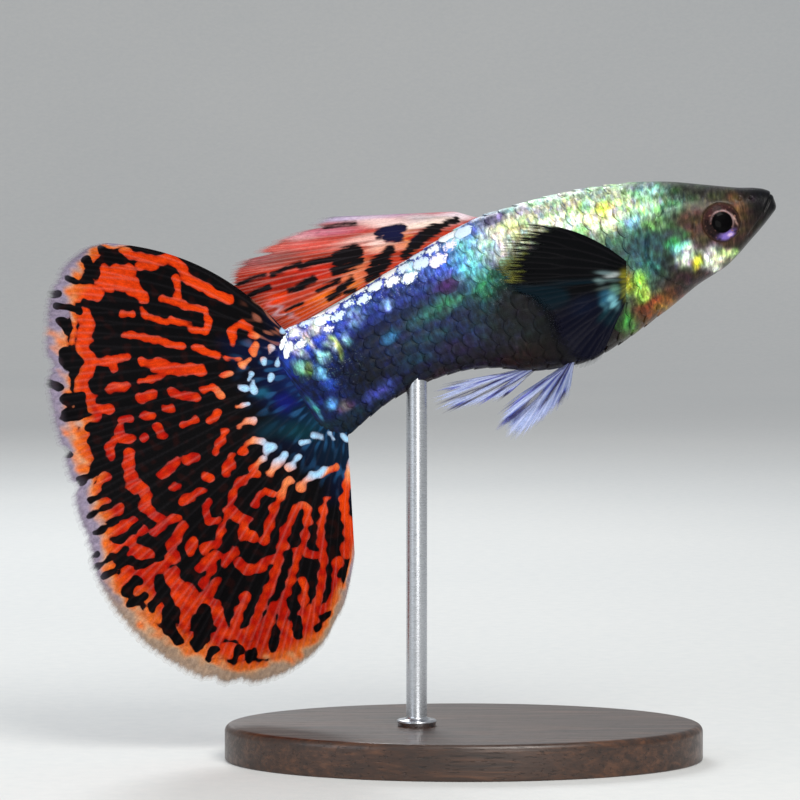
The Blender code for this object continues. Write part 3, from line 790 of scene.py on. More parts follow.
def eye_paint(x, y, shown):
    """Black pupil, thin pale ring, dark red-brown iris with a violet glint of silver under the pupil, and
    a small painted highlight on that patch.
    """
    radius = np.hypot(x, y)
    turn = np.arctan2(y, x)
    streak = 0.5 + 0.5 * np.sin(turn * 23 + 5 * np.sin(turn * 7))
    toward = np.clip(0.25 + 0.45 * np.cos(turn - 1.0), 0, 1)
    layers = (
        (0.8 * smooth_step((y - 0.1) / 0.8) * (0.6 + 0.4 * streak), (0.24, 0.13, 0.14)),
        (0.95 * patch_weight(x, y, (0.12, -0.90, 0.56, 0.28, 4)), (0.50, 0.42, 0.74)),
        # Painted highlight: a small pinkish-white glint painted on the violet patch under the pupil
        (0.8 * patch_weight(x, y, (0.30, -0.88, 0.16, 0.10, 0)), (0.86, 0.74, 0.88)),
        (0.8 * patch_weight(x, y, (0.86, -0.08, 0.07, 0.34, 15)), (0.74, 0.60, 0.56)),
        (toward * np.exp(-(((radius - 0.73) / 0.06) ** 2)), (0.70, 0.58, 0.58)),
        (0.7 * smooth_step((mottle(x, y, 0.42, 45, 20) - 0.2) / 0.9), (0.07, 0.05, 0.06)),
        (0.7 * smooth_step((mottle(x, y, 0.30, 46, 20) - 0.8) / 0.6), (0.54, 0.38, 0.34)),
        (0.6 * smooth_step((-x - 0.1) / 0.8) * smooth_step((0.5 - y) / 0.6), (0.08, 0.06, 0.07)),
        (0.8 * smooth_step((radius - 1.02) / 0.16), (0.24, 0.17, 0.14)),
        (smooth_step((PUPIL_RADIUS + 0.015 - radius) / 0.03), (0.012, 0.010, 0.014)),
    )
    colour = painted(linear((0.16, 0.11, 0.10)) * (0.6 + 0.8 * streak)[..., None], layers)
    return np.where(shown[..., None], colour, linear((0.1, 0.08, 0.08)))


# Fins

# Ray tables give the share across the fin, then the pitch in degrees that a ray falls at, and its length.
# The tail's pitch runs evenly from its top to its bottom, so its table has the lengths only
TAIL_TOP_PITCH = -25.0
TAIL_BOTTOM_PITCH = 93.0
TAIL_RAY_LENGTHS = (
    (0.00, 12.7),
    (0.03, 14.0),
    (0.10, 15.6),
    (0.25, 16.3),
    (0.385, 16.5),
    (0.46, 17.1),
    (0.60, 19.0),
    (0.72, 19.4),
    (0.81, 18.5),
    (0.90, 15.5),
    (0.96, 12.0),
    (1.00, 7.8),
)
TAIL_TOP_BOW = 1.35
TAIL_BOW_SHARE = 0.3
TAIL_WAVE = 1.9
TAIL_WAVES = 1.45
TAIL_WAVE_PHASE = 0.02
TAIL_LEAN = 1.1
TAIL_ROOT = 30.9
TAIL_GRID = (480, 150)
TAIL_RAY_COUNT = 22
TAIL_FORKS = (0.22, 0.62)

DORSAL_START = 17.85
DORSAL_END = 24.6
DORSAL_RAYS = (
    (0.00, 2.5, 10.0),
    (0.10, 3.8, 10.4),
    (0.22, 6.2, 12.1),
    (0.35, 7.8, 13.1),
    (0.50, 9.3, 12.6),
    (0.65, 13.6, 11.4),
    (0.82, 20.5, 9.7),
    (1.00, 27.3, 7.0),
)
DORSAL_LEAN = 0.9
DORSAL_SAG = 3.0
DORSAL_LOBES = (0.11, 0.31)
DORSAL_GRID = (150, 92)
DORSAL_RAY_COUNT = 11
DORSAL_FORKS = (0.35, 0.7)

PECTORAL_ROOT_X = 9.88
PECTORAL_ROOT_TOP = 31.30
PECTORAL_ROOT_BOTTOM = 28.75
PECTORAL_RAYS = (
    (0.00, -20.4, 6.8),
    (0.08, -12.7, 7.8),
    (0.20, -5.8, 8.4),
    (0.30, -0.4, 8.25),
    (0.40, 4.1, 7.6),
    (0.50, 9.4, 6.3),
    (0.60, 22.0, 5.5),
    (0.75, 39.9, 5.6),
    (0.84, 50.0, 5.5),
    (0.90, 58.4, 5.0),
    (1.00, 65.6, 3.8),
)
PECTORAL_FLARE = 0.40
PECTORAL_CUP = 0.55
PECTORAL_TOP_BOW = 0.6
PECTORAL_BOW_SHARE = 0.3
PECTORAL_GRID = (168, 84)
PECTORAL_RAY_COUNT = 14
PECTORAL_FORKS = (0.4, 0.72)

PELVIC_START = 16.6
PELVIC_END = 15.2
PELVIC_RAYS = (
    (0.0, 33.7, 3.1),
    (0.2, 40.4, 4.9),
    (0.4, 55.4, 4.9),
    (0.6, 60.6, 3.8),
    (0.8, 69.7, 2.6),
    (1.0, 82.0, 1.6),
)
PELVIC_SIDE = 0.75
PELVIC_FLARE = 0.22
ROOT_RISE = 0.16
BELLY_FIN_ROOT = 1.1
BELLY_FIN_HIDDEN = 0.06
BELLY_FIN_GRID = (96, 54)
BELLY_FIN_FORKS = (0.35,)
ANAL_START = 19.8
ANAL_END = 18.0
ANAL_RAYS = (
    (0.00, 9.5, 3.6),
    (0.25, 17.9, 4.9),
    (0.50, 27.2, 5.1),
    (0.75, 31.7, 3.8),
    (1.00, 41.8, 2.4),
)

MARK_BLUR = 0.16
TAIL_MARGIN_BAND = 1.7

# The photo's pixels to a millimetre, and the pixel where the row frame's origin lies in it
PHOTO_SCALE = 16
PHOTO_ORIGIN = (464, 761)

# Marks on fins, read off the photo in its pixels: half width, then each point along the mark
TAIL_LIGHT = (
    (8.8, (106, 273), (107, 284)),
    (8, (122, 284), (131, 283)),
    (5, (125, 250), (140, 259), (155, 261), (170, 259), (180, 265), (186, 276)),
    (5.5, (186, 276), (200, 285), (215, 292), (229, 300)),
    (3.5, (177, 276), (179, 290), (178, 300)),
    (3.5, (162, 299), (180, 304), (192, 306), (204, 312), (212, 321), (207, 331), (194, 329),
     (184, 322), (173, 319)),
    (3.2, (142, 308), (148, 316), (157, 320), (166, 322)),
    (3.6, (124, 335), (134, 336), (146, 338), (158, 340), (170, 343), (183, 346)),
    (3.8, (197, 347), (207, 350), (219, 355)),
    (4, (233, 341), (232, 333), (237, 326), (244, 324), (250, 329), (257, 335)),
    (7.5, (158, 366), (168, 369)),
    (4, (142, 362), (155, 365)),
    (6, (168, 369), (184, 369), (201, 369)),
    (3, (140, 380), (152, 378), (165, 374)),
    (4.5, (95, 361), (104, 362), (114, 360), (127, 358)),
    (4, (112, 362), (113, 369)),
    (8, (84, 315), (86, 325), (84, 336), (81, 347)),
    (6.5, (85, 350), (89, 360), (88, 370), (82, 380), (80, 390)),
    (5, (84, 392), (92, 398), (93, 408)),
    (6, (92, 409), (108, 409)),
    (5, (100, 416), (88, 420), (75, 424)),
    (9, (110, 275), (128, 273)),
    (8, (128, 280), (134, 290)),
    (6, (134, 290), (142, 299)),
    (9, (76, 293), (96, 292)),
    (7, (100, 283), (112, 280)),
    (5, (140, 265), (155, 265)),
    (3.5, (122, 313), (131, 315)),
    (5, (110, 388), (126, 387)),
    (5.5, (142, 398), (154, 393)),
    (4.5, (172, 392), (183, 394), (197, 396)),
    (4, (205, 389), (213, 387), (220, 394)),
    (3.2, (224, 373), (232, 372)),
    (3.2, (244, 364), (250, 360)),
    (1.5, (226, 356), (241, 358)),
    (4, (257, 343), (254, 352)),
    (3, (241, 388), (247, 388)),
    (2.5, (254, 381), (255, 392)),
    (4, (143, 415), (153, 415)),
    (3.5, (166, 408), (172, 408)),
    (3.2, (184, 423), (197, 419)),
    (3.8, (211, 418), (219, 412)),
    (4.5, (158, 427), (164, 434)),
    (4, (145, 436), (148, 434)),
    (3, (122, 420), (132, 417)),
    (5.5, (121, 426), (121, 436), (131, 438)),
    (4.5, (115, 440), (110, 447), (112, 455)),
    (6, (131, 452), (130, 465), (133, 478), (138, 488)),
    (6.5, (141, 484), (148, 495), (148, 505)),
    (5, (150, 506), (155, 513), (161, 516)),
    (5, (163, 473), (171, 466), (177, 461)),
    (4.8, (187, 458), (197, 456)),
    (4.5, (206, 475), (212, 476)),
    (3.2, (171, 486), (181, 484)),
    (4, (182, 500), (191, 496), (203, 489)),
    (3.5, (210, 499), (206, 508), (210, 520), (219, 517)),
    (3.8, (226, 432), (220, 441), (218, 449)),
    (5.3, (232, 457), (230, 465), (228, 469)),
    (4, (256, 473), (246, 477), (238, 482), (234, 492), (230, 502), (229, 510)),
    (2.6, (229, 510), (224, 522), (220, 533), (216, 545)),
    (3.5, (243, 451), (247, 444), (254, 440), (262, 441)),
    (3.5, (252, 468), (262, 458)),
    (6, (268, 447), (270, 447)),
    (4.3, (271, 471), (277, 463), (284, 453)),
    (3.8, (289, 466), (297, 457)),
    (2, (238, 405), (250, 403)),
    (3, (240, 424), (256, 418)),
    (4, (289, 478), (284, 487), (279, 498), (274, 510), (270, 522), (264, 540)),
    (3.5, (255, 503), (260, 495), (265, 489), (274, 494)),
    (4, (300, 488), (305, 480), (314, 474), (325, 470), (336, 466)),
    (4.5, (353, 458), (349, 475), (345, 492), (344, 508), (348, 525), (349, 540), (345, 555)),
    (4, (340, 560), (336, 575), (338, 590), (333, 603), (322, 612)),
    (3, (327, 499), (324, 512), (322, 525), (321, 540), (321, 552), (323, 570), (320, 590), (317, 605)),
    (3.6, (308, 522), (309, 508), (303, 504), (296, 509), (290, 521), (284, 532), (281, 548),
     (277, 566), (272, 584), (264, 600), (257, 616), (250, 632)),
    (3, (307, 520), (305, 535), (302, 546), (308, 553), (316, 554)),
    (2.8, (298, 552), (295, 565), (291, 580), (286, 593), (281, 605)),
    (2.8, (302, 580), (304, 595), (303, 608), (300, 620)),
    (5, (282, 605), (282, 620), (286, 635), (288, 650)),
    (5, (276, 608), (267, 624), (262, 640), (262, 655)),
    (6, (312, 612), (308, 630), (305, 645)),
    (4.2, (238, 563), (245, 570), (256, 569), (266, 563), (276, 559)),
    (4, (224, 562), (233, 552)),
    (3.5, (246, 595), (242, 605), (238, 616), (233, 630)),
    (5.5, (232, 508), (240, 518), (246, 520)),
    (5, (245, 520), (244, 535), (252, 535)),
    (5, (201, 565), (210, 561), (216, 555)),
    (4, (204, 548), (212, 544)),
    (3, (216, 556), (210, 572), (203, 585)),
    (4.5, (193, 541), (190, 550)),
    (4.5, (184, 525), (178, 534), (172, 545)),
    (3.6, (155, 530), (163, 523), (178, 516)),
    (5.5, (174, 555), (165, 562), (155, 567), (147, 572)),
    (6.5, (173, 573), (178, 588), (183, 600)),
    (8, (188, 592), (188, 606)),
    (5, (186, 612), (184, 627)),
    (4, (196, 600), (208, 594), (216, 582)),
    (5.5, (205, 602), (215, 606), (217, 618)),
    (5, (218, 625), (225, 634), (240, 638), (258, 637)),
    (6, (188, 640), (190, 652)),
    (4.5, (192, 655), (205, 652), (218, 640)),
    (5, (100, 535), (112, 530), (125, 525), (135, 520)),
    (5.5, (103, 548), (118, 543), (132, 536), (143, 528)),
    (6.5, (136, 550), (148, 552)),
    (6, (147, 572), (148, 585), (150, 597)),
    (5, (143, 580), (137, 590)),
    (5.5, (123, 576), (131, 570), (136, 572)),
    (7, (150, 613), (156, 615)),
    (5, (88, 492), (99, 484), (107, 475)),
    (3.5, (90, 506), (98, 504), (107, 499)),
    (5, (98, 519), (110, 512), (122, 506)),
    (6, (85, 430), (85, 445), (88, 462)),
    (3, (312, 434), (322, 436)),
    (2.5, (331, 433), (335, 437)),
    (2.5, (344, 434), (347, 437)),
    (2.5, (303, 441), (309, 439)),
    (2.5, (272, 347), (271, 353)),
    (2.3, (266, 357), (265, 363)),
    (2.5, (280, 357), (278, 364)),
    (2.2, (272, 374), (270, 380)),
    (3, (284, 325), (285, 329)),
    (7.2, (181, 644), (210, 652), (238, 654), (266, 654), (294, 649)),
    (5.6, (154, 598), (162, 617), (176, 636), (194, 652)),
    (3.2, (70, 297), (74, 323), (72, 342)),
    (3.5, (256, 649), (258, 627)),
    (2.9, (294, 643), (294, 623)),
    (2.2, (252, 374), (250, 378)),
)
TAIL_DARK = (
    (4, (102, 250), (112, 253), (120, 257)),
    (5.5, (86, 260), (91, 268), (96, 275)),
    (3, (67, 277), (76, 282)),
    (3.5, (54, 306), (66, 308), (79, 311)),
    (4, (84, 303), (95, 306), (105, 308)),
    (6, (60, 324), (66, 330)),
    (10.5, (68, 357), (70, 361)),
    (4.5, (50, 385), (57, 388)),
    (6.5, (66, 399), (80, 399), (84, 407), (78, 415), (65, 416)),
    (4, (50, 293), (57, 293)),
    (4, (64, 449), (69, 453)),
    (4.5, (90, 427), (102, 424)),
    (6, (95, 440), (99, 455)),
    (4.5, (84, 479), (95, 472), (108, 464)),
    (3, (92, 499), (103, 494), (110, 490)),
    (2.5, (90, 514), (105, 507), (113, 502)),
    (3.2, (97, 530), (108, 525), (118, 520)),
    (4, (118, 538), (130, 532), (140, 523)),
    (2.5, (90, 556), (99, 553)),
    (2.8, (95, 567), (108, 558), (120, 552), (128, 547)),
    (3.2, (104, 575), (116, 568), (126, 560), (133, 556)),
    (3.5, (137, 566), (150, 560), (162, 556)),
    (5.5, (126, 592), (132, 585), (138, 578)),
    (4.5, (130, 603), (138, 600), (145, 594)),
    (5, (152, 606), (158, 598), (165, 590)),
    (7, (168, 610), (170, 628)),
    (5, (172, 632), (178, 642)),
    (8, (203, 612), (202, 630), (197, 645)),
    (4, (206, 660), (214, 650)),
    (4, (233, 663), (238, 650)),
    (4.5, (248, 664), (253, 652)),
    (5, (272, 650), (276, 638)),
    (5.5, (296, 622), (298, 636)),
    (3, (340, 575), (343, 570)),
)
DORSAL_DARK = (
    (2.5, (456, 221), (440, 226)),
    (5.5, (436, 229), (422, 237), (414, 246)),
    (4, (411, 249), (405, 256)),
    (4.5, (379, 235), (390, 230), (402, 228)),
    (5.5, (387, 236), (398, 236)),
    (7.5, (339, 258), (346, 255), (355, 252)),
    (3.5, (335, 272), (346, 268), (360, 261)),
    (2.6, (300, 266), (315, 262), (334, 259)),
    (2, (272, 274), (286, 268), (300, 263)),
    (4.5, (374, 264), (382, 258), (390, 250)),
    (4, (372, 272), (380, 268), (387, 261)),
    (2.5, (368, 280), (377, 275)),
    (3.5, (299, 287), (307, 282), (314, 279)),
    (2.4, (289, 291), (300, 288)),
    (2, (318, 291), (328, 286), (340, 281)),
    (2.2, (340, 288), (345, 284), (352, 280)),
    (2.8, (330, 298), (338, 293), (344, 288)),
    (2.2, (345, 292), (356, 291)),
    (1.8, (287, 312), (295, 307), (303, 303)),
    (1.2, (325, 227), (345, 223), (355, 223)),
    (2, (240, 300), (256, 292), (268, 287)),
    (1.6, (238, 285), (252, 278), (266, 275)),
)

# Patches on fins: x, z, half length, half height, rise towards the snout in degrees, colour, strength.
# The first two tables are in millimetres, and the last is in the photo's pixels
TAIL_PATCHES = (
    (-11.1, 25.3, 0.45, 0.90, 0, (0.10, 0.16, 0.52), 0.85),
    (-10.4, 23.6, 0.90, 0.70, 0, (0.06, 0.14, 0.34), 0.80),
    (-11.1, 22.4, 0.60, 0.55, 0, (0.06, 0.07, 0.42), 0.85),
    (-9.0, 21.6, 0.90, 0.50, 30, (0.05, 0.20, 0.28), 0.80),
    (-10.3, 20.7, 1.20, 0.55, 0, (0.03, 0.20, 0.22), 0.80),
    (-12.2, 20.9, 0.80, 0.60, 30, (0.03, 0.16, 0.22), 0.80),
    (-12.6, 23.0, 0.50, 0.30, 0, (0.10, 0.34, 0.44), 0.70),
    (-8.6, 19.2, 1.20, 0.60, 0, (0.02, 0.08, 0.14), 0.80),
)
PECTORAL_PATCHES = (
    (9.06, 30.48, 0.42, 0.15, 6, (0.66, 0.70, 0.70), 0.90),
    (8.60, 30.60, 0.50, 0.12, -4, (0.38, 0.46, 0.47), 0.80),
    (8.90, 30.12, 0.50, 0.10, 0, (0.38, 0.46, 0.45), 0.80),
    (8.25, 30.10, 0.30, 0.18, 0, (0.42, 0.52, 0.52), 0.85),
    (8.60, 29.65, 0.50, 0.12, 10, (0.28, 0.32, 0.30), 0.70),
    (9.20, 29.50, 0.30, 0.30, 0, (0.38, 0.56, 0.48), 0.85),
    (8.75, 29.05, 0.45, 0.45, 30, (0.16, 0.36, 0.46), 0.90),
    (9.10, 28.80, 0.26, 0.45, 20, (0.46, 0.70, 0.74), 0.90),
    (8.60, 28.50, 0.20, 0.30, 30, (0.24, 0.42, 0.48), 0.80),
    (8.80, 27.90, 0.50, 0.50, 30, (0.03, 0.15, 0.18), 0.80),
    (7.20, 28.60, 0.90, 0.50, 20, (0.02, 0.06, 0.14), 0.70),
    (9.85, 30.35, 0.34, 0.40, 0, (0.48, 0.46, 0.12), 0.95),
    (9.85, 29.40, 0.30, 0.55, 0, (0.44, 0.46, 0.20), 0.90),
)
DORSAL_PATCHES = (
    (454, 217, 25.6, 5.6, 8, (0.93, 0.88, 0.92), 0.9),
    (350, 217, 62, 5, 3, (0.70, 0.64, 0.78), 1.0),
    (313, 222, 20, 5, 15, (0.60, 0.60, 0.66), 0.9),
    (335, 226, 28, 2.5, 5, (0.44, 0.34, 0.34), 0.8),
    (322, 233, 38, 5, 6, (0.76, 0.44, 0.52), 0.9),
    (395, 223, 36, 5.1, -3, (0.97, 0.84, 0.82), 0.95),
    (381, 244, 12.8, 5.8, 5, (0.99, 0.86, 0.82), 0.95),
    (422, 219, 19.2, 4.2, 0, (0.80, 0.76, 0.78), 0.90),
    (426, 225, 30.4, 4.2, 10, (0.97, 0.86, 0.80), 0.95),
    (406, 241, 4.8, 11.2, 30, (0.92, 0.54, 0.30), 0.90),
    (301, 239, 14.4, 4.8, 8, (0.86, 0.66, 0.68), 0.85),
    (365, 239, 36, 4, 12, (0.95, 0.76, 0.72), 0.85),
    (392, 247, 22, 4, 5, (0.90, 0.58, 0.46), 0.8),
    (302, 247, 38, 7, 8, (0.84, 0.34, 0.30), 0.9),
    (280, 257, 20, 8, 12, (0.58, 0.32, 0.30), 0.8),
    (310, 273, 26, 7, 12, (0.84, 0.15, 0.07), 0.95),
    (280, 286, 20, 8, 15, (0.56, 0.07, 0.01), 0.9),
    (274, 298, 14, 5, 10, (0.98, 0.25, 0.0), 0.9),
    (269, 279, 16, 6.4, 10, (0.72, 0.12, 0.02), 0.9),
    (355, 272, 13, 15, -40, (0.88, 0.48, 0.32), 0.9),
    (325, 298, 15, 7, 30, (0.92, 0.43, 0.08), 0.95),
    (352, 287, 10, 5, 30, (0.88, 0.45, 0.14), 0.9),
    (302, 312, 20, 7, 30, (0.84, 0.28, 0.01), 0.9),
    (283, 311, 14, 2.5, -30, (0.78, 0.64, 0.68), 0.7),
    (250, 260, 20, 8, 10, (0.66, 0.38, 0.40), 0.8),
    (246, 284, 16, 14, 15, (0.58, 0.12, 0.05), 0.8),
)


def photo_place(x, y):
    """A pixel of the photo as x and z, to the 0.1 mm that it could be read to."""
    left, base = PHOTO_ORIGIN
    return round((x - left) / PHOTO_SCALE, 1), round((base - y) / PHOTO_SCALE, 1)


def photo_marks(marks):
    """Marks in the photo's pixels as marks in millimetres."""
    rows = []
    for half_width, *points in marks:
        rows.append((round(half_width / PHOTO_SCALE, 2), *[photo_place(x, y) for x, y in points]))
    return rows


def photo_patches(patches):
    """Patches in the photo's pixels as patches in millimetres."""
    rows = []
    for x, y, *sizes, rise, colour, strength in patches:
        half_sizes = [round(size / PHOTO_SCALE, 2) for size in sizes]
        rows.append((*photo_place(x, y), *half_sizes, rise, colour, strength))
    return rows


def ray_step(pitch, distance):
    """The way back along rays that fall at a pitch in degrees, in the side view."""
    turn = np.radians(pitch)
    zero = np.zeros_like(turn * distance)
    return np.stack([-distance * np.cos(turn), zero, -distance * np.sin(turn)], axis=-1)


def rise_from_skin(out, depth):
    """How far in a fin's root lies below its solid, so that the fin grows out of the skin."""
    return depth * (1 - smooth_step(out / ROOT_RISE)) - 3 * np.minimum(out, 0)


def ray_reach(out, length):
    """Distance along a belly fin's rays: the hidden share of `out` runs back into the body."""
    return length * np.maximum(out, 0) + BELLY_FIN_ROOT * np.minimum(out, 0) / BELLY_FIN_HIDDEN


def sideways(distance):
    zero = np.zeros_like(distance)
    return np.stack([zero, distance, zero], axis=-1)


def tail_points(across, out):
    """The tail fin. A negative `out` is the root that is hidden in the stalk."""
    back = curve_value(BODY_SECTIONS, 1, BODY_END)
    belly = curve_value(BODY_SECTIONS, 2, BODY_END)
    hidden = np.minimum(out, 0)
    shown = np.maximum(out, 0)
    level = (back - (back + belly) * across) * (1 + 2.5 * hidden)
    root = body_point(TAIL_ROOT + 14 * hidden, level)
    pitch = TAIL_TOP_PITCH + (TAIL_BOTTOM_PITCH - TAIL_TOP_PITCH) * across
    length = curve_value(TAIL_RAY_LENGTHS, 1, across)
    bow = TAIL_TOP_BOW * np.maximum(0, 1 - across / TAIL_BOW_SHARE) * 4 * shown * (1 - shown)
    wave = np.sin(2 * math.pi * (TAIL_WAVES * across + TAIL_WAVE_PHASE))
    ruffle = 0.16 * shown**3 * np.sin(2 * math.pi * (9.3 * across + 0.6 * shown))
    side = shown**1.4 * (TAIL_WAVE * wave + TAIL_LEAN) + ruffle
    return root + ray_step(pitch, length * shown) + ray_step(pitch + 90, -bow) + sideways(side)


def dorsal_points(across, out):
    along = DORSAL_START + (DORSAL_END - DORSAL_START) * across
    lift = (0.3 - rise_from_skin(out, 0.45)) * (1 - 0.8 * across) - 0.15 * across
    root = body_point(along, body_size(along)[0] + lift)
    pitch = curve_value(DORSAL_RAYS, 1, across) + DORSAL_SAG * across**2
    length = curve_value(DORSAL_RAYS, 2, across)
    shown = np.maximum(out, 0)
    ruffle = 0.10 * shown**2 * np.sin(2 * math.pi * (4.3 * across + 0.4 * shown))
    return root + ray_step(pitch, length * shown) + sideways(DORSAL_LEAN * shown + ruffle)


def pectoral_points(across, out, hand):
    z = PECTORAL_ROOT_TOP + (PECTORAL_ROOT_BOTTOM - PECTORAL_ROOT_TOP) * across
    along, height = body_place(np.full_like(z, PECTORAL_ROOT_X), z)
    shown = np.maximum(out, 0)
    side = flank_width(along, height) + 0.35 - rise_from_skin(out, 0.5)
    root = body_point(along, height, hand * side)
    pitch = curve_value(PECTORAL_RAYS, 1, across)
    length = curve_value(PECTORAL_RAYS, 2, across)
    cup = PECTORAL_CUP * np.sin(math.pi * across) * shown**2
    ruffle = 0.10 * shown**2 * np.sin(2 * math.pi * 5.2 * across)
    flare = hand * (PECTORAL_FLARE * length * shown - cup + ruffle)
    bow = PECTORAL_TOP_BOW * np.maximum(0, 1 - across / PECTORAL_BOW_SHARE) * 4 * shown * (1 - shown)
    return root + ray_step(pitch, length * shown) + ray_step(pitch + 90, -bow) + sideways(flare)


def pelvic_points(across, out, hand):
    along = PELVIC_START + (PELVIC_END - PELVIC_START) * across
    belly = body_size(along)[1]
    shown = np.maximum(out, 0)
    root = body_point(along, -belly - 0.3, hand * PELVIC_SIDE)
    pitch = curve_value(PELVIC_RAYS, 1, across)
    length = curve_value(PELVIC_RAYS, 2, across)
    curl = 0.12 * shown**2 * np.sin(2 * math.pi * 2.4 * across)
    flare = hand * PELVIC_FLARE * length * shown + curl
    return root + ray_step(pitch, ray_reach(out, length)) + sideways(flare)


def anal_points(across, out):
    along = ANAL_START + (ANAL_END - ANAL_START) * across
    shown = np.maximum(out, 0)
    root = body_point(along, -body_size(along)[1] - 0.3)
    pitch = curve_value(ANAL_RAYS, 1, across)
    length = curve_value(ANAL_RAYS, 2, across)
    curl = 0.12 * shown**2 * np.sin(2 * math.pi * 2.2 * across)
    return root + ray_step(pitch, ray_reach(out, length)) + sideways(curl)


def ray_distance(across, out, rays, forks):
    """How far each place is from its nearest bony ray, in ray spacings. Every ray forks on its way out."""
    place = across * rays
    place = place - np.floor(place) - 0.5
    offsets = [np.zeros_like(place)]
    reach = 0.25
    for fork in forks:
        spread = reach * smooth_step((out - fork) / 0.22)
        offsets = [offset + way * spread for offset in offsets for way in (-1, 1)]
        reach /= 2
    return np.min([np.abs(place - offset) for offset in offsets], axis=0)


def fin_grid(grid, hidden_share=0.05):
    """Across and out for each point of a fin's grid, with two steps hidden in the body."""
    columns, steps = grid
    across = np.linspace(0, 1, columns + 1)
    out = np.append([-hidden_share, -hidden_share / 2], np.linspace(0, 1, steps - 1))
    return np.meshgrid(across, out, indexing="ij")


def ragged(across, rays, forks, recess, notch, seed):
    """Share of its full length that each ray or web reaches: webs fall back, and some tear further."""
    rng = np.random.default_rng(seed)
    between = ray_distance(across, np.ones_like(across), rays, forks) * 2 ** (len(forks) + 1)
    tips = rng.uniform(0, 1, 4 * rays + 2)
    reach = np.interp(across * 4 * rays, np.arange(4 * rays + 2), tips)
    torn = np.zeros_like(across)
    for place in rng.uniform(0.03, 0.97, rays // 2):
        width = rng.uniform(0.10, 0.3) / rays
        torn = np.maximum(torn, rng.uniform(0.3, 1.0) * np.exp(-(((across - place) / width) ** 2)))
    return 1 - recess * between**1.5 - 0.6 * recess * reach - notch * torn


def torn_fin(place, across, out, reach_share, power):
    """Where each point is once every ray or web reaches its own share, and how far apart columns are."""
    shown = np.maximum(out, 0)
    stretched = np.where(out > 0, out * (1 + (reach_share[:, None] - 1) * shown**power), out)
    points = place(across, stretched)
    return points, np.linalg.norm(np.gradient(points, axis=0), axis=-1)


def web_thickness(out, margin, lines, root, root_end, web, rim):
    """Thicker at the root and along the rays, and thin at the margin."""
    thickness = root * (1 - smooth_step(out / root_end)) + web + 0.05 * lines
    return thickness * (0.4 + 0.6 * smooth_step(margin / rim))


def fin_values(ink, light, dark, fade, *flow):
    """The named values that fin_material() reads: ink is above 0 where the dark colour shows."""
    return {"ink": ink, "light": light, "dark": dark, "fade": fade, "flow": np.stack(flow, axis=-1)}


def make_fin(name, points, thickness, material, node, attributes):
    """A closed sheet with a front, a back and a rim, from a grid of points and its thickness there."""
    columns, rows = points.shape[:2]
    over = np.gradient(points, axis=0)
    down = np.gradient(points, axis=1)
    out = np.cross(over, down)
    out /= np.linalg.norm(out, axis=-1, keepdims=True) + 1e-12
    half = 0.5 * thickness[..., None] * out
    sheet = np.concatenate([(points + half).reshape(-1, 3), (points - half).reshape(-1, 3)])
    front, back, rim = sheet_faces(columns, rows)
    u = np.broadcast_to(np.linspace(0.01, 0.49, columns)[:, None], (columns, rows)).ravel()
    v = np.broadcast_to(np.linspace(0.01, 0.95, rows)[None, :], (columns, rows)).ravel()
    both = np.concatenate([np.column_stack([u, v]), np.column_stack([u + 0.5, v])])
    strip = np.linspace(0.01, 0.99, len(rim) + 1)
    corners = ((strip[:-1], 0.97), (strip[:-1], 0.985), (strip[1:], 0.985), (strip[1:], 0.97))
    corners = [np.column_stack([row, np.full(len(rim), level)]) for row, level in corners]
    rim_uv = np.stack(corners, axis=1)
    uv = np.concatenate([both[front.ravel()], both[back.ravel()], rim_uv.reshape(-1, 2)])
    doubled = {}
    for key, values in attributes.items():
        flat = values.reshape(-1) if values.ndim == 2 else values.reshape(-1, values.shape[-1])
        doubled[key] = np.concatenate([flat, flat])
    faces = np.concatenate([front, back, rim]).tolist()
    dress(new_piece(name, sheet, faces, uv, doubled), material, (node,))


def ray_relief(across, out, spacing, rays, forks, radius):
    """1 along the rays and 0 on the web between them, for rays of that radius in millimetres."""
    apart = ray_distance(across, np.maximum(out, 0), rays, forks) * spacing / rays
    return np.exp(-((apart / radius) ** 2))


def mark_gap(x, z, marks):
    """Distance to the edge of the nearest mark in millimetres, below 0 inside it."""
    gap = np.full(x.shape, 9.0)
    for half_width, *points in photo_marks(marks):
        for (x1, z1), (x2, z2) in zip(points, points[1:]):
            gap = np.minimum(gap, line_distance(x, z, x1, z1, x2, z2) - half_width)
    return gap


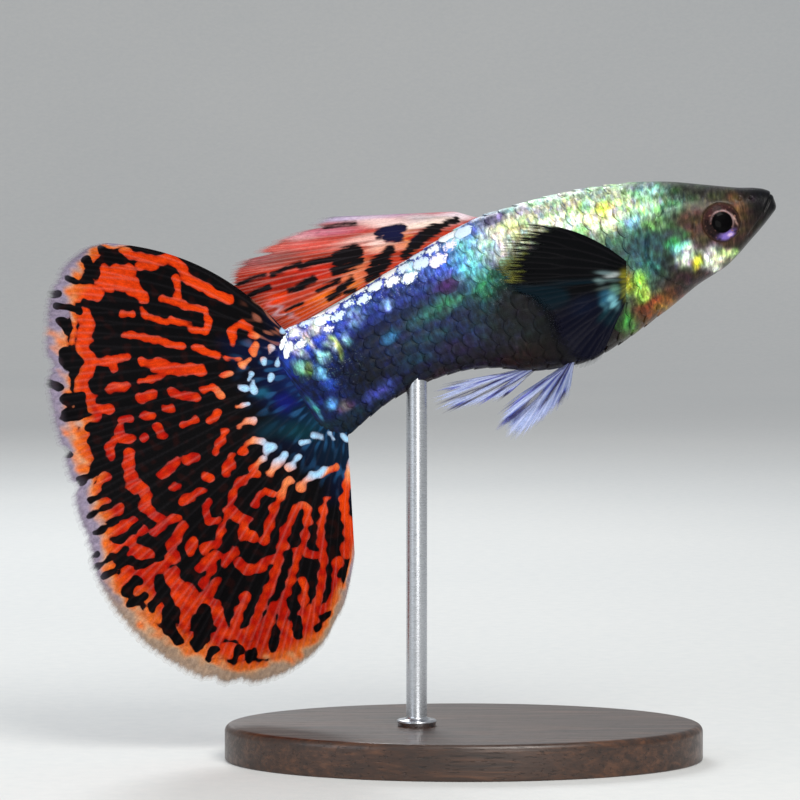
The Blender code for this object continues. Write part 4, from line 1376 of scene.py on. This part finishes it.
def tail_colours(across, reach, margin, x, z):
    """The tail fin's light marks and the dark between them, in colours that change from root to rim."""
    uneven = mottle(x, z, 3.1, 31)
    fine = mottle(x, z, 0.9, 36)
    far = smooth_step((reach - 6) / 3)
    middle = smooth_step((across - 0.20) / 0.15) * smooth_step((0.90 - across) / 0.08)
    peach = smooth_step((reach + 0.4 * uneven - (1.0 + 3.2 * middle)) / 1.2)
    orange = smooth_step((reach + 0.5 * uneven - (1.8 + 3.0 * middle)) / 1.4)
    crimson = smooth_step((reach - 5.0) / 3.0) * (0.25 + 0.75 * smooth_step((across - 0.16) / 0.2))
    crimson = crimson * np.clip(0.75 + 0.25 * uneven + 0.25 * fine, 0, 1)
    amber = smooth_step((2.7 + 0.4 * uneven - margin) / 1.3) * far
    cream = smooth_step((1.7 + 0.4 * uneven + 0.3 * fine - margin) / 1.0) * far
    light = painted(even((0.66, 0.86, 1.00), x.shape), (
        (peach, (0.98, 0.62, 0.38)),
        (orange, (0.88, 0.25, 0.02)),
        (crimson, (0.68, 0.07, 0.01)),
        (0.85 * amber, (0.86, 0.42, 0.14)),
        (0.85 * cream, (0.90, 0.70, 0.48)),
    ))
    rim = smooth_step((1.5 + 0.4 * uneven + 0.2 * fine - margin) / 0.8) * far
    below = smooth_step((13 + uneven - z) / 5)
    rim_colour = painted(even((0.53, 0.50, 0.60), x.shape), ((below, (0.62, 0.53, 0.46)),))
    light = light + 0.95 * rim[..., None] * (rim_colour - light)

    from_root = reach + 0.7 * uneven + 3.0 * smooth_step((0.22 - across) / 0.12)
    low = smooth_step((across + 0.05 * fine - 0.40) / 0.2) * smooth_step((4.4 - reach) / 3.0)
    thread = smooth_step((mottle(across * 60, reach * 1.3, 2.2, 40, 20) - 0.1) / 1.1)
    near = smooth_step((4.8 - reach) / 2.2) * smooth_step((across - 0.12) / 0.1)
    above = smooth_step((3.6 - reach) / 1.6) * smooth_step((0.24 - across) / 0.1)
    dark = painted(even((0.02, 0.06, 0.20), x.shape), (
        (smooth_step((from_root - 1.4) / 3.6), (0.012, 0.008, 0.014)),
        (0.8 * low, (0.01, 0.11, 0.19)),
        (0.42 * (thread * near), (0.18, 0.40, 0.60)),
        (0.7 * (thread * above), (0.62, 0.36, 0.28)),
    ))
    veil = np.clip(0.75 + 0.5 * thread, 0, 1)
    dark = painted(dark, patch_layers(x + 0.1 * fine, z + 0.1 * uneven, TAIL_PATCHES, veil))
    maroon = smooth_step((mottle(x, z, 0.8, 44, 16) - 0.3) / 0.9) * smooth_step((reach - 4) / 2)
    worn = smooth_step((1.2 - margin) / 0.8) * far
    return light, painted(dark, ((0.40 * maroon, (0.15, 0.03, 0.02)), (0.7 * worn, (0.26, 0.24, 0.28))))


def make_tail():
    across, out = fin_grid(TAIL_GRID)
    length = curve_value(TAIL_RAY_LENGTHS, 1, across)
    reach_share = ragged(across[:, 0], TAIL_RAY_COUNT, TAIL_FORKS, 0.006, 0.03, 41)
    points, spacing = torn_fin(tail_points, across, out, reach_share, 3)
    rays = ray_relief(across, out, spacing * TAIL_GRID[0], TAIL_RAY_COUNT, TAIL_FORKS, 0.07)
    shown = np.maximum(out, 0)
    reach = shown * length
    margin = (1 - shown) * length
    edge_gap = np.minimum(np.minimum(across, 1 - across) * TAIL_GRID[0] * spacing, margin)
    web = 0.24 * (1 - smooth_step(out / 0.25)) + 0.075
    thin = 0.35 + 0.65 * smooth_step(np.minimum(margin, edge_gap) / 0.4)
    thickness = (web + 0.05 * rays * (1 - 0.4 * shown)) * thin
    x = points[..., 0]
    z = points[..., 2]
    wobble = 0.08 * mottle(x, z, 1.0, 37) + 0.02 * mottle(x, z, 0.5, 38, 24)
    wider = 0.08 * smooth_step((17 - z) / 4)
    light_gap = np.minimum(mark_gap(x, z, TAIL_LIGHT) - wider, margin - TAIL_MARGIN_BAND) + wobble
    dark_gap = mark_gap(x, z, TAIL_DARK) - wobble
    ink = np.clip(light_gap / MARK_BLUR, -1, 1)
    ink = np.maximum(ink, np.clip(-dark_gap / MARK_BLUR, -1, 1))
    light, dark = tail_colours(across, reach, margin, x, z)
    core = smooth_step((0.04 - light_gap) / 0.22)[..., None]
    light = light * (linear((0.80, 0.68, 0.68)) * (1 - core) + core)
    fade = smooth_step(np.minimum(margin, edge_gap + 0.5) / 0.9)
    values = fin_values(ink, light, dark, fade, across * TAIL_RAY_COUNT, reach, rays)
    material = fin_material("tail_web", 0.05)
    make_fin("tail_fan", points, thickness, material, "fin_tail", values)


def dorsal_colours(across, shown, x, z):
    """Lavender along the dorsal fin's top, then rose and red, with orange and salmon by the back."""
    streak = mottle(across * 24, shown * 1.6, 2.0, 32)
    layers = patch_layers(x + 0.25 * streak, z + 0.10 * streak, photo_patches(DORSAL_PATCHES))
    light = painted(even((0.72, 0.22, 0.13), x.shape), layers)
    return light * (1 - 0.28 * smooth_step((0.3 - streak) / 1.2))[..., None]


def make_dorsal():
    across, out = fin_grid(DORSAL_GRID)
    length = curve_value(DORSAL_RAYS, 2, across)
    reach_share = ragged(across[:, 0], DORSAL_RAY_COUNT, DORSAL_FORKS, 0.025, 0.04, 42)
    for place in DORSAL_LOBES:
        reach_share -= 0.08 * np.exp(-(((across[:, 0] - place) / 0.018) ** 2))
    points, spacing = torn_fin(dorsal_points, across, out, reach_share, 2)
    lines = ray_relief(across, out, spacing * DORSAL_GRID[0], DORSAL_RAY_COUNT, DORSAL_FORKS, 0.05)
    shown = np.maximum(out, 0)
    margin = (1 - shown) * length
    thickness = web_thickness(out, margin, lines, 0.10, 0.3, 0.07, 0.5)
    x = points[..., 0]
    z = points[..., 2]
    light = dorsal_colours(across, shown, x, z)
    navy = 0.9 * patch_weight(x, z, (-4.4, 33.0, 1.1, 0.6, 0))
    dark = painted(even((0.04, 0.025, 0.035), x.shape), ((navy, (0.07, 0.08, 0.22)),))
    feather = mottle(across * 46, out * 2.4, 2.0, 39, 16)
    thread = mottle(across * 30, out * 2.0, 1.9, 33)
    gap = mark_gap(x, z, DORSAL_DARK) + 0.07 * feather - 0.05
    shade = 0.75 * smooth_step((thread - 0.45) / 0.7) * smooth_step((across - 0.2) / 0.15)
    ink = np.maximum(np.clip(-gap / 0.42, -1, 1), 0.9 * shade - 0.95)
    rear = smooth_step((0.6 - across) / 0.3)
    fade = smooth_step(margin / (0.5 + 1.2 * rear))
    values = fin_values(ink, light, dark, fade, across * DORSAL_RAY_COUNT, shown * length, lines)
    material = fin_material("dorsal_web", 0.14)
    make_fin("dorsal_fan", points, thickness, material, "fin_dorsal", values)


def pectoral_colours(across, out, lines, x, z):
    """Blue-black, yellow at the fleshy base, cyan clouds beyond it, and pale tips on the upper rays."""
    streak = mottle(across * 34, out * 1.6, 2.2, 34)
    broad = mottle(across * 4, out * 2.0, 1.3, 35)
    light = even((0.42, 0.42, 0.16), x.shape)
    in_teal = smooth_step((across - 0.34) / 0.1) * smooth_step((0.62 - across) / 0.1)
    dark = painted(even((0.010, 0.014, 0.022), x.shape), (
        (0.7 * smooth_step((across - 0.50) / 0.15), (0.015, 0.022, 0.10)),
        (0.7 * in_teal * smooth_step((broad + 0.5) / 0.8), (0.01, 0.10, 0.14)),
    ))
    veil = np.clip(0.85 + 0.3 * streak, 0, 1)
    dark = painted(dark, patch_layers(x + 0.05 * streak, z + 0.04 * streak, PECTORAL_PATCHES, veil))
    tips = smooth_step((out + 0.05 * streak - 0.60) / 0.34) * smooth_step((0.46 - across) / 0.12)
    top = smooth_step((0.10 - across) / 0.08) * smooth_step((out - 0.62) / 0.2)
    ink = 1 + 0.12 * streak - 1.3 * np.maximum(tips, 0.9 * top) * (1.1 - lines)
    return light, dark, ink, np.maximum(tips, 0.7 * top)


def make_pectoral(side, hand, material):
    across, out = fin_grid(PECTORAL_GRID)
    length = curve_value(PECTORAL_RAYS, 2, across)
    spiky = 0.03 + 0.05 * smooth_step((0.5 - across[:, 0]) / 0.3)
    torn = ragged(across[:, 0], PECTORAL_RAY_COUNT, PECTORAL_FORKS, 1.0, 0.8, 43)
    place = functools.partial(pectoral_points, hand=hand)
    points, spacing = torn_fin(place, across, out, 1 + (torn - 1) * spiky, 2)
    fin_width = spacing * PECTORAL_GRID[0]
    lines = ray_relief(across, out, fin_width, PECTORAL_RAY_COUNT, PECTORAL_FORKS, 0.055)
    shown = np.maximum(out, 0)
    margin = (1 - shown) * length
    thickness = web_thickness(out, margin, lines, 0.14, 0.3, 0.06, 0.5)
    light, dark, ink, tips = pectoral_colours(across, out, lines, points[..., 0], points[..., 2])
    lower = smooth_step((across - 0.42) / 0.1)
    fade = smooth_step(margin / (0.35 + 0.9 * lower)) * (1 - 0.75 * tips * (1 - lines))
    values = fin_values(ink, light, dark, fade, across * PECTORAL_RAY_COUNT, shown * length, lines)
    name = f"pectoral_fan_{side}"
    make_fin(name, points, thickness, material, f"fin_pectoral_{side}", values)


def make_belly_fin(name, node, place, lengths, rays, seed, material):
    """A small fringed fin of the belly: soft rays with deep gaps between them."""
    across, out = fin_grid(BELLY_FIN_GRID, BELLY_FIN_HIDDEN)
    length = curve_value(lengths, 2, across)
    reach_share = 1.06 * ragged(across[:, 0], rays, BELLY_FIN_FORKS, 0.16, 0.22, seed)
    points, spacing = torn_fin(place, across, out, reach_share, 1.5)
    lines = ray_relief(across, out, spacing * BELLY_FIN_GRID[0], rays, BELLY_FIN_FORKS, 0.06)
    shown = np.maximum(out, 0)
    margin = (1 - shown) * length
    thickness = web_thickness(out, margin, lines, 0.08, 0.4, 0.06, 0.4)
    streak = mottle(across * 18, out * 2.0, 2.2, seed + 1)
    broad = mottle(across * 5, out * 1.5, 1.6, seed + 2)
    blue = smooth_step((streak + 0.3) / 0.9)
    light = painted(even((0.70, 0.76, 0.94), across.shape), ((blue, (0.32, 0.38, 0.76)),))
    dark = even((0.20, 0.20, 0.38), across.shape)
    ink = 0.5 * broad + 0.5 * streak - 0.45
    clear = 0.35 * smooth_step((broad - 0.2) / 0.8)
    fade = smooth_step(margin / 1.0) * (0.45 + 0.35 * lines - clear)
    values = fin_values(ink, light, dark, fade, across * rays, shown * length, lines)
    make_fin(name, points, thickness, material, node, values)


def make_small_fins():
    pectoral_web = fin_material("pectoral_web", 0.05)
    belly_web = fin_material("belly_web", 0.20)
    for side, hand, seed in (("right", -1, 61), ("left", 1, 67)):
        make_pectoral(side, hand, pectoral_web)
        place = functools.partial(pelvic_points, hand=hand)
        node = f"fin_pelvic_{side}"
        make_belly_fin(f"pelvic_fan_{side}", node, place, PELVIC_RAYS, 7, seed, belly_web)
    make_belly_fin("anal_fan", "fin_anal", anal_points, ANAL_RAYS, 9, 71, belly_web)


# Stand

BASE_LENGTH = 30.0
BASE_WIDTH = 20.0
BASE_HEIGHT = 2.25
BASE_RIM = 0.45
BASE_FOOT = 0.15
COLLAR_RADIUS = 1.25
COLLAR_HEIGHT = 0.62
ROD_ALONG = 25.6
ROD_RADIUS = 0.65
ROD_INSIDE = 0.9
STAND_AROUND = 128


def lathe(name, profile, centre, stretch, material, node):
    """A turned piece from a profile of radius and height, wider one way by the stretch."""
    turn = np.arange(STAND_AROUND) * 2 * math.pi / STAND_AROUND
    radius = np.array([row[0] for row in profile])
    height = np.array([row[1] for row in profile])
    x = centre[0] + radius[:, None] * stretch[0] * np.cos(turn)[None, :]
    y = centre[1] + radius[:, None] * stretch[1] * np.sin(turn)[None, :]
    z = np.broadcast_to(height[:, None], x.shape)
    points = np.stack([x, y, z], axis=-1)
    rings = len(profile)
    faces = tube_faces(rings, STAND_AROUND, -1)
    steps = np.append(0, np.cumsum(np.hypot(np.diff(radius), np.diff(height))))
    v = 0.3 + 0.4 * steps / steps[-1]
    side_uv = tube_uv(rings, STAND_AROUND, v, -1)
    disc = np.column_stack([0.13 * np.cos(turn), 0.13 * np.sin(turn)])
    uv = np.concatenate([side_uv, (disc + (0.3, 0.15))[::-1], disc + (0.7, 0.85)])
    points = points.reshape(-1, 3)
    dress(new_piece(name, points, faces, uv, {"flow": points}), material, (node,))


def arc(centre_radius, centre_height, size, start, end, steps):
    """Points of a round edge of a profile, between two angles in degrees."""
    turns = np.radians(np.linspace(start, end, steps))
    return [(centre_radius + size * math.cos(t), centre_height + size * math.sin(t)) for t in turns]


def make_base():
    half = BASE_LENGTH / 2
    profile = [(0.05, 0.0), (half * 0.4, 0.0), (half * 0.8, 0.0)]
    profile += arc(half - BASE_FOOT, BASE_FOOT, BASE_FOOT, -90, 0, 6)
    profile += arc(half - BASE_RIM, BASE_HEIGHT - BASE_RIM, BASE_RIM, 0, 90, 12)
    profile += [(half * share, BASE_HEIGHT) for share in (0.93, 0.8, 0.6, 0.4, 0.2, 0.004)]
    stretch = (1.0, BASE_WIDTH / BASE_LENGTH)
    lathe("stand_base_turned", profile, (0.0, 0.0), stretch, wood_material(), "stand_base")


def make_rod():
    """The rod from inside the base, through its collar, to inside the belly."""
    belly = curve_value(BODY_SECTIONS, 2, ROD_ALONG)
    top = body_point(np.array(ROD_ALONG), -belly)
    low = BASE_HEIGHT - 0.6
    high = top[2] + ROD_INSIDE
    profile = [(0.02, low), (COLLAR_RADIUS - 0.1, low)]
    profile += arc(COLLAR_RADIUS - 0.12, BASE_HEIGHT + 0.28, 0.12, -60, 80, 6)
    profile += arc(ROD_RADIUS + 0.22, BASE_HEIGHT + COLLAR_HEIGHT, 0.22, -95, -180, 8)
    shaft = high - BASE_HEIGHT - 1.2
    profile += [(ROD_RADIUS, BASE_HEIGHT + COLLAR_HEIGHT + shaft * i / 8) for i in range(1, 9)]
    profile += arc(ROD_RADIUS - 0.3, high - 0.3, 0.3, 0, 85, 6) + [(0.02, high)]
    centre = (top[0], top[1])
    lathe("stand_rod_turned", profile, centre, (1, 1), steel_material(), "stand_rod")


# Materials


class Graph:
    """Short calls for wiring the nodes of one material."""

    def __init__(self, name):
        self.material = bpy.data.materials.new(name)
        self.material.use_nodes = True
        self.tree = self.material.node_tree
        self.shader = self.tree.nodes["Principled BSDF"]

    def put(self, socket, value):
        if isinstance(value, bpy.types.NodeSocket):
            self.tree.links.new(value, socket)
        elif isinstance(value, (tuple, list, np.ndarray)) and socket.type == "RGBA":
            socket.default_value = (*value[:3], 1.0)
        else:
            socket.default_value = value

    def node(self, kind, inputs=(), **settings):
        node = self.tree.nodes.new("ShaderNode" + kind)
        for key, value in settings.items():
            setattr(node, key, value)
        for key, value in dict(inputs).items():
            self.put(node.inputs[key], value)
        return node

    def attribute(self, name, output="Vector"):
        return self.node("Attribute", attribute_name=name).outputs[output]

    def maths(self, operation, *values):
        return self.node("Math", enumerate(values), operation=operation).outputs[0]

    def times(self, *values):
        return self.maths("MULTIPLY", *values)

    def plus(self, *values):
        return self.maths("ADD", *values)

    def minus(self, *values):
        return self.maths("SUBTRACT", *values)

    def step(self, value, low, high, to_low=0.0, to_high=1.0):
        inputs = {0: value, 1: low, 2: high, 3: to_low, 4: to_high}
        return self.node("MapRange", inputs, interpolation_type="SMOOTHSTEP").outputs[0]

    def blend(self, factor, low, high, mode="MIX"):
        inputs = {0: factor, 6: low, 7: high}
        return self.node("Mix", inputs, data_type="RGBA", blend_type=mode).outputs[2]

    def stretch(self, vector, scale):
        return self.node("VectorMath", {0: vector, 1: scale}, operation="MULTIPLY").outputs[0]

    def parts(self, vector):
        return self.node("SeparateXYZ", {0: vector}).outputs

    def noise(self, vector, scale, detail=3.0, roughness=0.55, distortion=0.0):
        inputs = {"Vector": vector, "Scale": scale, "Detail": detail}
        inputs.update({"Roughness": roughness, "Distortion": distortion})
        return self.node("TexNoise", inputs).outputs["Fac"]

    def cells(self, vector, scale):
        return self.node("TexVoronoi", {"Vector": vector, "Scale": scale}).outputs

    def grey(self, value):
        return self.node("CombineColor", {0: value, 1: value, 2: value}).outputs[0]

    def shade(self, colour, value):
        """The colour, made darker or lighter by a value."""
        return self.blend(1.0, colour, self.grey(value), "MULTIPLY")

    def ramp(self, value, stops):
        """A colour ramp. Each stop is a place and a display colour."""
        node = self.node("ValToRGB", {0: value})
        elements = node.color_ramp.elements
        while len(elements) < len(stops):
            elements.new(0.5)
        for element, (place, colour) in zip(elements, stops):
            element.position = place
            element.color = (*linear(colour), 1.0)
        return node.outputs["Color"]

    def bump(self, height, distance, strength=1.0, normal=None):
        inputs = {"Height": height, "Distance": distance * MM, "Strength": strength}
        if normal is not None:
            inputs["Normal"] = normal
        return self.node("Bump", inputs).outputs["Normal"]

    def surface(self, **values):
        for key, value in values.items():
            socket = key.replace("_", " ").title().replace("Ior", "IOR")
            self.put(self.shader.inputs[socket], value)


# Hues of the silvery flecks, of the flecks where the skin is dull, and of the beads along the back
PLATINUM = (
    (0.00, (0.90, 0.88, 0.56)),
    (0.16, (0.98, 1.00, 0.88)),
    (0.34, (0.58, 0.86, 0.64)),
    (0.50, (1.00, 1.00, 0.98)),
    (0.66, (0.60, 0.88, 0.92)),
    (0.80, (0.90, 0.92, 0.74)),
    (0.92, (0.80, 0.84, 1.00)),
)
DEEP_BLUE = (
    (0.00, (0.16, 0.28, 0.62)),
    (0.25, (0.10, 0.34, 0.42)),
    (0.45, (0.30, 0.26, 0.56)),
    (0.65, (0.20, 0.46, 0.80)),
    (0.85, (0.14, 0.20, 0.36)),
)
BEADS = (
    (0.00, (0.98, 0.99, 1.00)),
    (0.50, (0.92, 0.98, 1.00)),
    (0.76, (0.84, 0.92, 1.00)),
    (0.90, (0.95, 0.92, 1.00)),
    (1.00, (0.92, 0.98, 0.80)),
)


def plate_look(graph, colour, normal, streaks, fine):
    """What each scale adds: a darker rear edge, a pearly bead along the back, and fine growth rings."""
    plate = graph.parts(graph.attribute("plate"))
    squares = [graph.times(plate[i], plate[i]) for i in (0, 1)]
    radius = graph.maths("SQRT", graph.plus(*squares))
    behind = graph.step(plate[0], -0.2, 0.7)
    rim = graph.times(graph.step(radius, 0.74, 0.98), behind)
    rim = graph.times(rim, graph.step(streaks, 0.2, 0.7, 1.0, 0.35))
    outline = graph.times(rim, 0.10)
    shaded = graph.blend(1.0, colour, linear((0.42, 0.45, 0.58)), "MULTIPLY")
    colour = graph.blend(outline, colour, shaded)
    pearl = graph.attribute("pearl", "Fac")
    beyond = graph.minus(plate[0], 0.34)
    bead = graph.maths("SQRT", graph.plus(graph.times(beyond, beyond), squares[1]))
    uneven = graph.times(graph.minus(streaks, 0.5), 1.5)
    torn = graph.times(graph.minus(fine, 0.5), 1.6)
    gap = graph.minus(graph.plus(bead, graph.plus(uneven, torn)), graph.times(pearl, 0.82))
    mark = graph.times(graph.step(gap, 0.14, -0.16), graph.step(pearl, 0.1, 0.4))
    colour = graph.blend(mark, colour, graph.ramp(plate[2], BEADS))
    grow = graph.maths("SINE", graph.times(radius, 42.0))
    normal = graph.bump(grow, 0.006, 0.6, normal)
    return colour, normal


def skin_material(name, plated):
    """Wet skin or scales: short streaks of silvery pigment across the body, over the markings."""
    graph = Graph(name)
    flow = graph.attribute("flow")
    paint = graph.attribute("paint", "Color")
    shine = graph.attribute("shine", "Fac")
    dull = graph.minus(1.0, shine)
    fine = graph.noise(flow, 7.0, 4.0, 0.6)
    streaks = graph.noise(graph.stretch(flow, (4.6, 1.6, 1.0)), 1.0, 4.0, 0.62, 0.3)
    flecks = graph.cells(graph.stretch(flow, (3.6, 1.6, 1.0)), 1.3)
    fleck_hue = graph.parts(flecks["Color"])[0]
    specks = graph.step(graph.cells(flow, 8.5)["Distance"], 0.34, 0.16)
    platinum = graph.ramp(fleck_hue, PLATINUM)
    blues = graph.ramp(fleck_hue, DEEP_BLUE)
    bright = graph.grey(graph.step(streaks, 0.32, 0.68, 0.42, 1.50))
    soft = graph.grey(graph.step(streaks, 0.32, 0.68, 0.55, 1.45))
    contrast = graph.blend(shine, soft, bright)
    colour = graph.blend(1.0, paint, contrast, "MULTIPLY")
    tinted = graph.blend(1.0, colour, platinum, "MULTIPLY")
    colour = graph.blend(graph.times(shine, 0.75), colour, tinted)
    colour = graph.blend(graph.times(dull, 0.40), colour, blues, "SOFT_LIGHT")
    silvery = graph.step(shine, 0.25, 0.80)
    glitter = graph.times(specks, graph.times(silvery, graph.step(streaks, 0.42, 0.62)))
    colour = graph.blend(graph.times(glitter, 0.30), colour, platinum)
    colour = graph.shade(colour, graph.step(fine, 0.25, 0.75, 0.82, 1.15))
    normal = graph.bump(graph.plus(fine, graph.times(streaks, 0.7)), 0.02)
    if plated:
        colour, normal = plate_look(graph, colour, normal, streaks, fine)
    rough = graph.step(fine, 0.3, 0.8, 0.26, 0.46)
    metal = graph.plus(graph.times(shine, 0.30), 0.05)
    graph.surface(base_color=colour, roughness=rough, metallic=metal, normal=normal)
    graph.surface(coat_weight=0.07, coat_roughness=0.14, specular_ior_level=0.14)
    return graph.material


def fin_material(name, ray_tint):
    """Thin web: the two colours of the markings, fine ray lines with joints, and a fading margin."""
    graph = Graph(name)
    flow = graph.attribute("flow")
    _, reach, line = graph.parts(flow)
    ink = graph.attribute("ink", "Fac")
    streaks = graph.noise(graph.stretch(flow, (2.6, 0.8, 0.0)), 3.2, 4.0, 0.6)
    grain = graph.noise(graph.stretch(flow, (5.0, 5.0, 0.0)), 3.0, 3.0, 0.6)
    rough_edge = graph.times(graph.minus(streaks, 0.5), 0.8)
    dark_share = graph.step(graph.plus(ink, rough_edge), -0.25, 0.25)
    light = graph.attribute("light", "Color")
    light = graph.shade(light, graph.step(streaks, 0.3, 0.7, 0.72, 1.08))
    light = graph.blend(graph.times(line, ray_tint), light, (0.85, 0.72, 0.66))
    dark = graph.attribute("dark", "Color")
    dark = graph.blend(graph.times(line, 0.4 * ray_tint), dark, (0.20, 0.17, 0.20))
    colour = graph.blend(dark_share, light, dark)
    colour = graph.shade(colour, graph.step(grain, 0.25, 0.8, 0.80, 1.15))
    joints = graph.maths("SINE", graph.times(reach, 18.0))
    joint_relief = graph.times(joints, line)
    normal = graph.bump(graph.plus(grain, graph.times(joint_relief, 0.5)), 0.012)
    fade = graph.attribute("fade", "Fac")
    torn = graph.noise(graph.stretch(flow, (6.0, 0.8, 0.0)), 3.0, 3.0, 0.6)
    worn = graph.plus(fade, graph.times(graph.minus(torn, 0.5), 0.5))
    alpha = graph.step(worn, -0.05, 0.85, 0.05, 1.0)
    graph.surface(base_color=colour, roughness=graph.step(grain, 0.3, 0.8, 0.40, 0.60), normal=normal)
    graph.surface(alpha=alpha, specular_ior_level=0.05)
    return graph.material


def eye_material():
    graph = Graph("guppy_eye")
    flow = graph.attribute("flow")
    fibres = graph.noise(flow, 9.0, 4.0, 0.6, 1.5)
    grey = graph.grey(graph.step(fibres, 0.25, 0.8, 0.75, 1.25))
    colour = graph.blend(1.0, graph.attribute("paint", "Color"), grey, "MULTIPLY")
    graph.surface(base_color=colour, roughness=graph.step(fibres, 0.2, 0.8, 0.34, 0.48))
    graph.surface(normal=graph.bump(fibres, 0.004), specular_ior_level=0.02)
    graph.surface(coat_weight=0.04, coat_roughness=0.02)
    return graph.material


def wood_material():
    """Dark stained wood: long grain lines, pores and a satin finish."""
    graph = Graph("dark_wood")
    flow = graph.attribute("flow")
    grain = graph.noise(graph.stretch(flow, (0.05, 0.55, 0.55)), 1.6, 5.0, 0.62, 1.4)
    lines = graph.noise(graph.stretch(flow, (0.16, 3.2, 3.2)), 1.5, 4.0, 0.6)
    pores = graph.step(graph.noise(graph.stretch(flow, (0.5, 6.5, 6.5)), 1.4, 2.0), 0.60, 0.70)
    tone = graph.plus(graph.times(grain, 0.7), graph.times(lines, 0.3))
    stains = ((0.34, (0.12, 0.07, 0.045)), (0.5, (0.23, 0.14, 0.09)), (0.66, (0.36, 0.23, 0.15)))
    colour = graph.ramp(tone, stains)
    colour = graph.blend(graph.times(pores, 0.6), colour, linear((0.08, 0.05, 0.035)))
    relief = graph.minus(graph.times(lines, 0.5), pores)
    graph.surface(base_color=colour, roughness=graph.step(tone, 0.3, 0.7, 0.50, 0.34))
    graph.surface(normal=graph.bump(relief, 0.03), coat_weight=0.25, coat_roughness=0.2)
    return graph.material


def steel_material():
    graph = Graph("brushed_rod")
    flow = graph.attribute("flow")
    brush = graph.noise(graph.stretch(flow, (1.2, 1.2, 9.0)), 1.5, 3.0, 0.6)
    colour = graph.ramp(brush, ((0.3, (0.70, 0.71, 0.73)), (0.7, (0.78, 0.79, 0.81))))
    graph.surface(base_color=colour, roughness=graph.step(brush, 0.3, 0.7, 0.24, 0.34), metallic=1.0)
    graph.surface(normal=graph.bump(brush, 0.002))
    return graph.material


def floor_material():
    graph = Graph("pale_floor")
    place = graph.node("TexCoord").outputs["Object"]
    cloud = graph.noise(place, 9.0, 3.0, 0.5)
    grain = graph.noise(place, 900.0, 3.0, 0.6)
    tone = graph.plus(graph.times(cloud, 0.6), graph.times(grain, 0.4))
    colour = graph.ramp(tone, ((0.3, (0.74, 0.75, 0.75)), (0.7, (0.80, 0.80, 0.79))))
    graph.surface(base_color=colour, roughness=0.75, normal=graph.bump(grain, 0.03))
    graph.surface(emission_color=(0.90, 0.91, 0.92), emission_strength=0.16)
    return graph.material


# Studio

CAMERA_TARGET = (-4.0, 0.0, 22.56)
CAMERA_DISTANCE = 250.0
CAMERA_RISE = 3.0
CAMERA_LENS = 180.0
SENSOR = 36.0
FLOOR_RADIUS = 520
FLOOR_RINGS = 24
WALL_CURVE = 300
FLOOR_AROUND = 96

# Soft lights: name, place, size, power, colour
LIGHTS = (
    ("key", (70, -190, 210), 130, 0.56, (1.0, 0.97, 0.92)),
    ("fill", (-190, -170, 90), 160, 0.14, (0.86, 0.93, 1.0)),
    ("front", (60, -260, 25), 120, 0.16, (1.0, 0.99, 0.96)),
    ("rim", (-60, 200, 190), 120, 0.35, (0.95, 0.98, 1.0)),
)


def aim(obj, place, target):
    obj.location = Vector(place) * MM
    obj.rotation_euler = (Vector(target) - Vector(place)).to_track_quat("-Z", "Y").to_euler()


def make_camera():
    data = bpy.data.cameras.new("camera")
    data.lens = CAMERA_LENS
    data.sensor_width = SENSOR
    data.clip_start = 0.01
    data.clip_end = 10.0
    camera = add_object("camera", data)
    rise = math.radians(CAMERA_RISE)
    x, y, z = CAMERA_TARGET
    place = (x, y - CAMERA_DISTANCE * math.cos(rise), z + CAMERA_DISTANCE * math.sin(rise))
    aim(camera, place, CAMERA_TARGET)
    bpy.context.scene.camera = camera


def softbox(name, place, size, power, colour):
    data = bpy.data.lights.new(name, "AREA")
    data.shape = "DISK"
    data.size = size * MM
    data.energy = power
    data.color = colour
    aim(add_object(name, data), place, CAMERA_TARGET)


def make_floor():
    """A pale floor that curves up into a wall all round and is open at the top."""
    bend = np.radians(np.arange(5, 95, 5))
    flat = np.linspace(5, FLOOR_RADIUS, FLOOR_RINGS)
    radii = np.concatenate([flat, FLOOR_RADIUS + WALL_CURVE * np.sin(bend)])
    heights = np.concatenate([np.zeros(FLOOR_RINGS), WALL_CURVE - WALL_CURVE * np.cos(bend)])
    turn = np.arange(FLOOR_AROUND) * 2 * math.pi / FLOOR_AROUND
    x = radii[:, None] * np.cos(turn)
    y = radii[:, None] * np.sin(turn)
    points = np.stack([x, y, np.broadcast_to(heights[:, None], x.shape)], axis=-1)
    faces = tube_faces(len(radii), FLOOR_AROUND)[:-1]
    floor = add_object("floor", new_mesh("floor", points.reshape(-1, 3), faces))
    floor.data.materials.append(floor_material())


def make_studio():
    """The floor, soft lights and a dim even sky."""
    make_floor()
    for light in LIGHTS:
        softbox(*light)
    world = bpy.data.worlds.new("sky")
    bpy.context.scene.world = world
    world.use_nodes = True
    sky = world.node_tree.nodes["Background"]
    sky.inputs["Color"].default_value = (0.93, 0.96, 1.0, 1.0)
    sky.inputs["Strength"].default_value = 0.42
    bpy.context.scene.view_settings.view_transform = "Standard"


make_skin()
make_coat()
make_eyes()
make_tail()
make_dorsal()
make_small_fins()
make_base()
make_rod()
make_camera()
make_studio()
